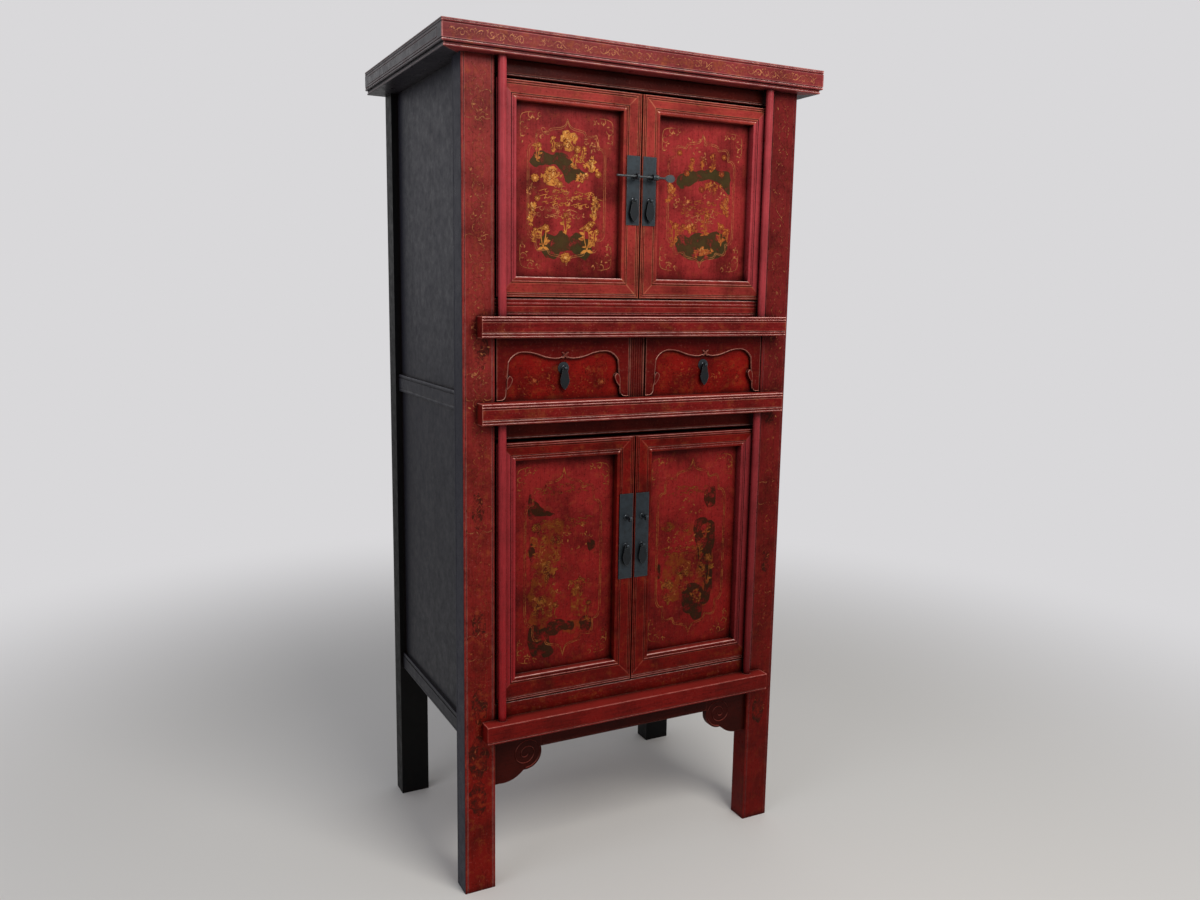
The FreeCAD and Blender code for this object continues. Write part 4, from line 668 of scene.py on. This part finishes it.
def corner_scrolls(art, half, high, width):
    """Three curls, a leafy tail and dots outside each corner of the border."""
    for across in (-1, 1):
        for upward in (-1, 1):
            u, v = half * across, high * upward
            spin = across * upward
            inward = 180 if across > 0 else 0
            art.stroke("border", curl(u - 3 * across, v - 20 * upward, 10, inward, 320 * spin), width)
            art.stroke("border", curl(u - 22 * across, v - 2 * upward, 9, 90 * upward, -320 * spin), width)
            art.stroke("border", curl(u - 1 * across, v - 42 * upward, 6, inward, 300 * spin), width * 0.8)
            art.stroke("border", curl(u - 42 * across, v, 6, 90 * upward, -300 * spin), width * 0.8)
            tail = [(-30, 5), (-8, 3), (3, -8), (3, -50)]
            art.stroke("border", smooth([(u + a * across, v + b * upward) for a, b in tail]), width * 0.8)
            for step in range(4):
                art.fill("border", leaf(u - (12 + 9 * step) * across, v - (12 - 2 * step) * upward, 8,
                                        70 * step, 3.2))
                art.fill("border", leaf(u - (9 - 2 * step) * across, v - (30 + 8 * step) * upward, 7,
                                        80 * step, 3.0))


def spray(art, u, v, height, lean, seed):
    """Flowering plant about as tall as a hand: two stems, uneven leaves and one open flower."""
    dice = random.Random(seed)
    for side in (-1, 1):
        tip = (u + lean + side * height * 0.06, v + height * dice.uniform(0.8, 1.0))
        bulge = lean * 0.2 + side * height * dice.uniform(0.02, 0.12)
        stem = smooth([(u, v), (u + bulge, v + height * 0.5), tip])
        art.stroke("gold", stem, 2.0, taper=0.6)
        for step in range(7):
            root = stem[dice.randrange(len(stem) - 2)]
            size = height * dice.uniform(0.14, 0.3)
            angle = 90 - side * dice.uniform(10, 100)
            art.fill("gold", leaf(*root, size, angle, size * dice.uniform(0.36, 0.6), bend=-0.2 * side))
            if step % 2:
                rib = [root, (root[0] + size * 0.7 * math.cos(math.radians(angle)),
                              root[1] + size * 0.7 * math.sin(math.radians(angle)))]
                art.stroke("ink", smooth(rib, steps=3), 0.9)
    blossom(art, tip[0], tip[1], max(height * 0.16, 5.5), 4, seed)


def cloud_band(art, layer, u, v, length, rows, seed):
    """Drift of cloud: hooked curls of changing size joined by long low lines."""
    dice = random.Random(seed)
    for row in range(rows):
        at = u - length / 2 + dice.uniform(0, 12)
        level_at = v - row * 12
        while at < u + length / 2:
            size, side = dice.uniform(4, 8.5), dice.choice((-1, 1))
            hook = curl(at, 0, size, 90, 330 * side, 12)
            z = level_at + dice.uniform(-3, 3)
            art.stroke(layer, [(a, z + b * 0.7) for a, b in hook], 1.2)
            drift = size * side
            tail = [(at, z + size * 0.7), (at - drift * 1.5, z + size * 0.35),
                    (at - drift * 3, z - size * 0.1)]
            art.stroke(layer, smooth(tail), 1.1)
            at += size * dice.uniform(1.7, 3.0)


def foliage(art, layer, u, v, reach, count, seed):
    """Loose cluster of small leaves and curls."""
    dice = random.Random(seed)
    for step in range(count):
        angle, out = dice.uniform(0, 360), reach * math.sqrt(dice.random())
        at = (u + out * math.cos(math.radians(angle)), v + out * 0.7 * math.sin(math.radians(angle)))
        if step % 3:
            art.fill(layer, leaf(*at, dice.uniform(5, 11), dice.uniform(0, 360), dice.uniform(2.4, 4.6)))
        else:
            art.stroke(layer, curl(*at, dice.uniform(4, 7), dice.uniform(0, 360), 280, 9), 1.2)


def ground(art, outline, seed):
    """Dark ground with a broken edge."""
    dice = random.Random(seed)
    art.fill("bank", [(u + dice.uniform(-1.8, 1.8), v + dice.uniform(-1.8, 1.8))
                      for u, v in smooth(outline, closed=True, steps=3)])


# Places of the motifs in mm from the middle of each panel. Grounds are outlines; fields and
# rocks have centre, width and height; flowers have centre and radius; sprays have foot, height
# and lean; clouds have layer, centre, length and rows; foliage has centre, reach and count.
SCENES = {
    "door_upper_left": dict(
        grounds=[
            [(-88, 60), (-76, 80), (-58, 86), (-40, 78), (-22, 86), (0, 78), (16, 64), (32, 52), (46, 42),
             (36, 26), (16, 30), (0, 20), (-8, 38), (-22, 54), (-40, 58), (-58, 56), (-74, 50)],
            [(-62, -102), (-50, -86), (-30, -92), (-12, -80), (6, -92), (24, -84), (44, -94), (58, -98),
             (62, -122), (46, -142), (28, -134), (12, -124), (-14, -126), (-30, -142), (-48, -138),
             (-60, -122)],
        ],
        rocks=[(2, 110, 38, 42), (-38, 34, 44, 40), (60, 62, 34, 26), (-84, -44, 16, 42), (70, -28, 20, 56),
               (38, 36, 24, 16)],
        flowers=[(-2, -138, 13), (-76, 28, 10), (-20, 98, 9), (24, 94, 9), (-18, 18, 8), (76, 44, 8),
                 (58, -64, 8), (-70, -14, 7)],
        sprays=[(-72, 64, 40, 3), (-34, 84, 32, -3), (16, 52, 34, 4), (-56, -118, 52, 3), (-2, -88, 42, -3),
                (50, -122, 60, -3), (68, -112, 40, 3), (-74, -108, 34, -3), (36, 68, 30, 3)],
        clouds=[("gold", 10, 0, 120, 3), ("border", -20, -38, 90, 2)],
        foliage=[(0, -18, 56, 30), (60, 112, 22, 14), (-62, 118, 18, 10), (-84, 2, 12, 10)],
    ),
    "door_upper_right": dict(
        grounds=[
            [(-68, 42), (-60, 58), (-42, 66), (-18, 68), (6, 72), (28, 76), (52, 72), (76, 72), (80, 46),
             (78, 22), (66, 28), (52, 42), (28, 52), (8, 48), (-12, 44), (-34, 34), (-56, 28)],
            [(-68, -86), (-50, -76), (-30, -82), (-8, -70), (14, -76), (36, -66), (60, -72), (77, -88),
             (74, -112), (52, -126), (24, -132), (-4, -136), (-32, -132), (-56, -122), (-66, -104)],
        ],
        rocks=[(-84, 18, 16, 42), (70, -8, 18, 50), (-26, -60, 42, 18), (10, -116, 50, 16), (30, 34, 38, 18)],
        flowers=[(-42, 62, 8), (54, 66, 8), (-62, 106, 7), (60, 104, 7), (0, 28, 8)],
        sprays=[(-30, 66, 30, 2), (30, 72, 38, -3), (12, -74, 48, 3), (-74, -104, 56, 2), (58, -100, 56, -3),
                (-52, -78, 26, 2), (76, -90, 32, -2), (0, 72, 24, 2)],
        clouds=[("gold", 0, -4, 120, 3), ("border", 0, -34, 90, 2)],
        foliage=[(0, 118, 44, 18), (-50, -12, 28, 14), (40, 8, 36, 14)],
    ),
    "door_lower_left": dict(
        grounds=[
            [(-86, 166), (-72, 152), (-56, 136), (-38, 124), (-22, 118), (-40, 113), (-66, 115), (-86, 113)],
            [(-84, 52), (-75, 46), (-72, 22), (-80, 8), (-86, 26)],
            [(-86, -150), (-70, -140), (-58, -152), (-44, -150), (-34, -168), (-32, -192), (-22, -214),
             (-44, -222), (-58, -210), (-74, -216), (-86, -196)],
            [(-38, -142), (-14, -134), (8, -140), (28, -146), (24, -164), (-2, -162), (-20, -174),
             (-38, -166)],
            [(46, -140), (66, -136), (76, -150), (72, -168), (54, -172), (44, -158)],
            [(60, 44), (76, 48), (80, 30), (66, 22)],
        ],
        fields=[(-48, 30, 80, 110), (-54, -70, 68, 120), (-20, 84, 90, 44), (36, -90, 34, 90),
                (-62, -130, 52, 50), (30, -158, 70, 34)],
        rocks=[(-34, -16, 44, 50), (-62, -92, 34, 54)],
        flowers=[(-20, 58, 13), (-68, 88, 12), (-34, -36, 14), (-58, -114, 12)],
        sprays=[(37, -132, 92, 2), (-62, 16, 66, 3), (-20, 6, 56, -3), (62, -148, 44, 2), (-26, -138, 50, 4)],
        clouds=[("gold", -10, 180, 110, 2), ("gold", 0, 100, 130, 2)],
        foliage=[(-40, 0, 50, 30), (30, 60, 44, 24), (-40, -70, 40, 26), (36, -60, 34, 18)],
    ),
    "door_lower_right": dict(
        grounds=[
            [(40, 142), (66, 148), (68, 104), (46, 98), (36, 118)],
            [(10, 66), (38, 72), (52, 56), (50, 10), (44, -48), (26, -52), (18, -6), (10, 30)],
            [(46, 60), (68, 56), (70, 10), (62, -40), (68, -90), (60, -140), (40, -150), (44, -100),
             (34, -60), (42, -10)],
            [(-18, -100), (6, -92), (30, -100), (46, -124), (40, -156), (38, -182), (16, -190), (2, -172),
             (-16, -160), (-20, -130)],
            [(-94, -38), (-86, -36), (-84, -64), (-92, -70)],
        ],
        fields=[(-36, -70, 90, 130), (40, -30, 52, 200), (-10, 40, 60, 50), (-66, 58, 40, 24),
                (20, -150, 60, 60)],
        rocks=[(-64, -96, 32, 50), (26, -128, 30, 34)],
        flowers=[(-16, 50, 12), (-66, 56, 11), (-30, -56, 12)],
        sprays=[(24, -50, 60, -3), (-20, -112, 56, 3), (-62, -140, 56, 3), (50, -100, 70, -2),
                (44, 20, 40, 2)],
        clouds=[("gold", 0, 150, 100, 2), ("gold", -20, 0, 110, 2)],
        foliage=[(-30, 20, 44, 22), (4, -60, 40, 18), (-40, -90, 36, 22), (10, 110, 44, 18)],
    ),
}


def gold_layers(hand, gold, light, kept):
    """Powdered gold on olive-black: warm and matt, with fine red drawing; from the grounds up."""
    return {
        "bank": lacquer(f"olive_black_ground_{hand}", **PANEL, paint="35351B", kept=0.78),
        "border": lacquer(f"fine_gold_lines_{hand}", **PANEL, paint="C4804C", kept=kept - 0.06, cover=0.85),
        "gold": lacquer(f"brushed_gold_{hand}", **PANEL, paint=gold, kept=kept),
        "light": lacquer(f"pale_gold_{hand}", **PANEL, paint=light, kept=kept),
        "ink": lacquer(f"red_drawing_on_gold_{hand}", **PANEL, paint="701F10", kept=0.9),
    }


# The lower pair is rubbed to dull gold smudges over smoky grounds.
SMUDGED = {
    "field": lacquer("dull_gold_smudge", **PANEL, paint="6E3F0E", kept=0.56, cover=0.5),
    "bank": lacquer("smoky_brown_ground", **PANEL, paint="1D1A0A", kept=0.68, cover=0.86),
    "border": lacquer("dim_gold_lines", **PANEL, paint="96582C", kept=0.55),
    "gold": lacquer("worn_dull_gold", **PANEL, paint="82501C", kept=0.54, cover=0.75),
    "light": lacquer("worn_pale_gold", **PANEL, paint="94602C", kept=0.46, cover=0.75),
    "ink": lacquer("brown_drawing_on_gold", **PANEL, paint="2C120A", kept=0.7, cover=0.85),
}
RECESS_FACE = -245.0
# Half width and half height of each border, width of its lines, and the finishes.
PAINTINGS = {
    "door_upper_left": (94, 150, 0.9, gold_layers("left", "CE883E", "E0A860", 0.74)),
    "door_upper_right": (92, 146, 0.9, gold_layers("right", "B4662E", "C68448", 0.67)),
    "door_lower_left": (98, 216, 1.4, SMUDGED),
    "door_lower_right": (98, 216, 1.4, SMUDGED),
}
for seed, (door, (half, tall, width, finishes)) in enumerate(PAINTINGS.items(), start=3):
    low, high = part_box(door + "_panel")
    art = Painting((low.x + high.x) / 2 / MM, (low.z + high.z) / 2 / MM, RECESS_FACE)
    dice = random.Random(seed)
    story = SCENES[door]
    for outline in story["grounds"]:
        ground(art, outline, seed)
    for u, v, wide, high_up in story.get("fields", ()):
        art.fill("field", lump(u, v, wide, high_up, dice, 10))
    border(art, half, tall, width)
    corner_scrolls(art, half + 13, tall + 8, width * 1.5)
    for layer, u, v, length, rows in story["clouds"]:
        cloud_band(art, layer, u, v, length, rows, seed + v)
    for u, v, reach, count in story["foliage"]:
        foliage(art, "border", u, v, reach, count, seed + v)
    for u, v, wide, high_up in story["rocks"]:
        rock(art, u, v, wide, high_up, seed + u)
    for u, v, height, lean in story["sprays"]:
        spray(art, u, v, height, lean, seed + u)
    for u, v, radius in story["flowers"]:
        blossom(art, u, v, radius, 6, seed + u)
    art.lay(door + "_painting", finishes, door)


# ---------------------------------------------------------------- drawers
# A flat front behind a cusped frame whose edge is followed by a fine bead, with a leaf and a
# bow carved in relief. The field keeps only smudges of its gold.

cusped_red = lacquer("rubbed_red_cusped_frame", low="560C09", high="60100E", flaw="260806", worn="BE8270",
                     wear=1.2, gilt=0.1, glint="E8B8A8", brush=ACROSS)
dress(cusped_red, "drawer_left_arch", "drawer_right_arch", "drawer_divider")
# The field behind the frame: a stained, darker red under a film of old gold.
FIELD = dict(low="700E08", high="80140F", flaw="340806", wear=0.7, mottle=0.8, gilt=0.2, brush=ACROSS)
dress(lacquer("stained_red_drawer_lacquer", **FIELD), "drawer_left_front", "drawer_right_front")
FIELD_FACE = -258.0
# Clusters of leaves (centre, reach, count) and flowers (centre, radius), in mm from the middle of
# the drawer's lower edge.
DRAWER_LEAVES = [(-78, 34, 40, 40), (-36, 58, 30, 24), (64, 44, 42, 40), (88, 70, 20, 14), (10, 22, 36, 20)]
DRAWER_FLOWERS = [(-70, 44, 15), (66, 62, 13), (96, 36, 12), (-30, 24, 12)]
DRAWER_LAYERS = {
    "gold": lacquer("smudged_gold", **FIELD, paint="98502A", kept=0.32, cover=0.7),
    "light": lacquer("smudged_pale_gold", **FIELD, paint="A8623A", kept=0.34, cover=0.7),
    "ink": lacquer("brown_drawing_on_drawers", **FIELD, paint="34140A", kept=0.6, cover=0.7),
}
for hand, seed in (("left", 51), ("right", 61)):
    low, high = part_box(f"drawer_{hand}_front")
    art = Painting((low.x + high.x) / 2 / MM, low.z / MM, FIELD_FACE)
    for u, v, reach, count in DRAWER_LEAVES:
        foliage(art, "gold", u, v, reach, count, seed + u)
    for u, v, radius in DRAWER_FLOWERS:
        blossom(art, u, v, radius, 6, seed + u)
    art.lay(f"drawer_{hand}_painting", DRAWER_LAYERS, f"drawer_{hand}")


# ---------------------------------------------------------------- iron plates and pulls
# Sheet iron blued by heat and waxed, gone slate grey-green, with forged eyes. The drops are
# cut from thicker sheet and hang from the eyes by a bar.

SCALE_CLOUD, PIT = 10.5 * MM, 2.4 * MM
WORN_CORNER, IRON_SHADE_REACH = 0.8 * MM, 14 * MM


def forged_iron(name, face, rust, rough, metal=0.5, edge_tone="8D9294"):
    """Forged iron under wax: slate grey and softly shining, clouded by scale, with pale edges.

    Clouds of scale are about 10 mm across and pits about 2 mm. Painted shade darkens the corners.
    """
    material, tree, shader = new_finish(name)
    place = add(tree, "TexCoord").outputs["Object"]
    scale = add(tree, "TexNoise", {"Vector": place, "Scale": 1 / SCALE_CLOUD, "Detail": 6.0,
                                   "Roughness": 0.65}).outputs[0]
    pits = add(tree, "TexNoise", {"Vector": place, "Scale": 1 / PIT, "Detail": 3.0}).outputs[0]
    share = add(tree, "MapRange", {0: scale, 1: 0.4, 2: 0.68}).outputs[0]
    base = add(tree, "Mix", {0: share, 6: srgb(face), 7: srgb(rust)}, data_type="RGBA").outputs[2]
    softened = add(tree, "Bevel", {"Radius": WORN_CORNER}, samples=4).outputs[0]
    flat = add(tree, "NewGeometry").outputs["Normal"]
    agree = add(tree, "VectorMath", {0: softened, 1: flat}, operation="DOT_PRODUCT").outputs["Value"]
    edge = add(tree, "MapRange", {0: agree, 1: 0.99, 2: 0.85, 4: 0.5}).outputs[0]
    base = add(tree, "Mix", {0: edge, 6: base, 7: srgb(edge_tone)}, data_type="RGBA").outputs[2]
    # Painted shade: darker in corners and round the forged eyes.
    open_air = add(tree, "AmbientOcclusion", {"Distance": IRON_SHADE_REACH}, samples=6).outputs["AO"]
    iron_shade = add(tree, "MapRange", {0: open_air, 1: 0.9, 2: 0.4, 4: 0.9}).outputs[0]
    base = add(tree, "Mix", {0: iron_shade, 6: base, 7: srgb("050507")}, data_type="RGBA").outputs[2]
    tree.links.new(base, shader.inputs["Base Color"])
    shader.inputs["Metallic"].default_value = metal
    gloss = add(tree, "MapRange", {0: scale, 1: 0.3, 2: 0.7, 3: rough - 0.08, 4: rough + 0.12}).outputs[0]
    tree.links.new(gloss, shader.inputs["Roughness"])
    bump = add(tree, "Bump", {"Strength": 0.25, "Distance": 0.3 * MM, "Height": pits})
    tree.links.new(bump.outputs[0], shader.inputs["Normal"])
    return material


plate_iron = forged_iron("waxed_slate_iron", face="2E363C", rust="22262A", rough=0.42, metal=0.6)
drop_iron = forged_iron("waxed_dark_iron", face="1D2226", rust="161719", rough=0.36, metal=0.6)
HOLDERS = [*PAINTINGS, "drawer_left", "drawer_right"]
for holder in HOLDERS:
    dress(plate_iron, holder + "_plate")
    dress(drop_iron, holder + "_pull")


# ---------------------------------------------------------------- washers under the eyes
# A small domed iron washer sits at the root of each forged eye, where the eye's legs go through
# the plate. The pull and the pin have burnished it.

def dome(name, centre, radius, rise, material, body):
    """Domed disc facing the front."""
    rings, round_steps = 5, 24
    corners = [(centre.x, centre.y - rise, centre.z)]
    faces = []
    for level in range(1, rings + 1):
        angle = math.pi / 2 * level / rings
        for step in range(round_steps):
            around = 2 * math.pi * step / round_steps
            corners.append((centre.x + radius * math.sin(angle) * math.cos(around),
                            centre.y - rise * math.cos(angle),
                            centre.z + radius * math.sin(angle) * math.sin(around)))
    for step in range(round_steps):
        after = (step + 1) % round_steps
        faces.append((0, 1 + after, 1 + step))
        for level in range(rings - 1):
            near, far = 1 + level * round_steps, 1 + (level + 1) * round_steps
            faces.append((near + step, near + after, far + after, far + step))
    piece = mesh_piece(name, corners, faces, material, body)
    for polygon in piece.data.polygons:
        polygon.use_smooth = True


burnished_iron = forged_iron("burnished_dark_iron", face="34383C", rust="24262A", rough=0.22, metal=0.8)
LOCK_EYE_LEVEL = {"upper": 1627 * MM, "lower": 853 * MM}
PLATE_FACE = {"door": -267.5 * MM, "drawer": -259.5 * MM}
WASHER = dict(radius=6.4 * MM, rise=2.2 * MM)
LOCK_WASHER = dict(radius=7.2 * MM, rise=2.6 * MM)
# The pull hangs from its eye by a bar just under its top.
EYE_BELOW_TOP = 1.5 * MM
for holder in HOLDERS:
    low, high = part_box(holder + "_pull")
    kind, tier = holder.split("_")[:2]
    root = Vector(((low.x + high.x) / 2, PLATE_FACE[kind], high.z - EYE_BELOW_TOP))
    dome(holder + "_washer", root, material=burnished_iron, body=holder, **WASHER)
    if kind == "door":
        root.z = LOCK_EYE_LEVEL[tier]
        dome(holder + "_lock_washer", root, material=burnished_iron, body=holder, **LOCK_WASHER)


# ---------------------------------------------------------------- lock pin
# A drawn iron pin through both lock eyes, brighter than the plates, with a wire coil that
# stops it against the right eye and a flattened leaf as its grip.

# The pin is smoother and paler than the plates, from being handled; its wire shines.
dress(forged_iron("handled_pin_iron", face="4C5154", rust="303232", rough=0.34), "lock_pin")
bright_iron = forged_iron("rubbed_bright_iron", face="7C7F80", rust="4C4A45", rough=0.3, metal=0.85,
                          edge_tone="B5B8B8")
PIN = Vector((0, -285.5 * MM, LOCK_EYE_LEVEL["upper"]))
COIL_STARTS, COIL_LENGTH, COIL_RADIUS, WIRE_RADIUS = 25.0 * MM, 7.4 * MM, 5.4 * MM, 0.9 * MM
COIL_TURNS, STEPS = 4, 96
coil_points = []
for step in range(STEPS + 1):
    share = step / STEPS
    around = 2 * math.pi * COIL_TURNS * share
    coil_points.append(PIN + Vector((COIL_STARTS + COIL_LENGTH * share, COIL_RADIUS * math.cos(around),
                                     COIL_RADIUS * math.sin(around))))
wire = bpy.data.curves.new("pin_coil", "CURVE")
wire.dimensions = "3D"
wire.bevel_depth = WIRE_RADIUS
wire.bevel_resolution = 3
turns = wire.splines.new("POLY")
turns.points.add(len(coil_points) - 1)
for point, at in zip(turns.points, coil_points):
    point.co = (*at, 1)
coil = bpy.data.objects.new("pin_coil", wire)
scene.collection.objects.link(coil)
wire.materials.append(bright_iron)
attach(coil, "lock_pin")
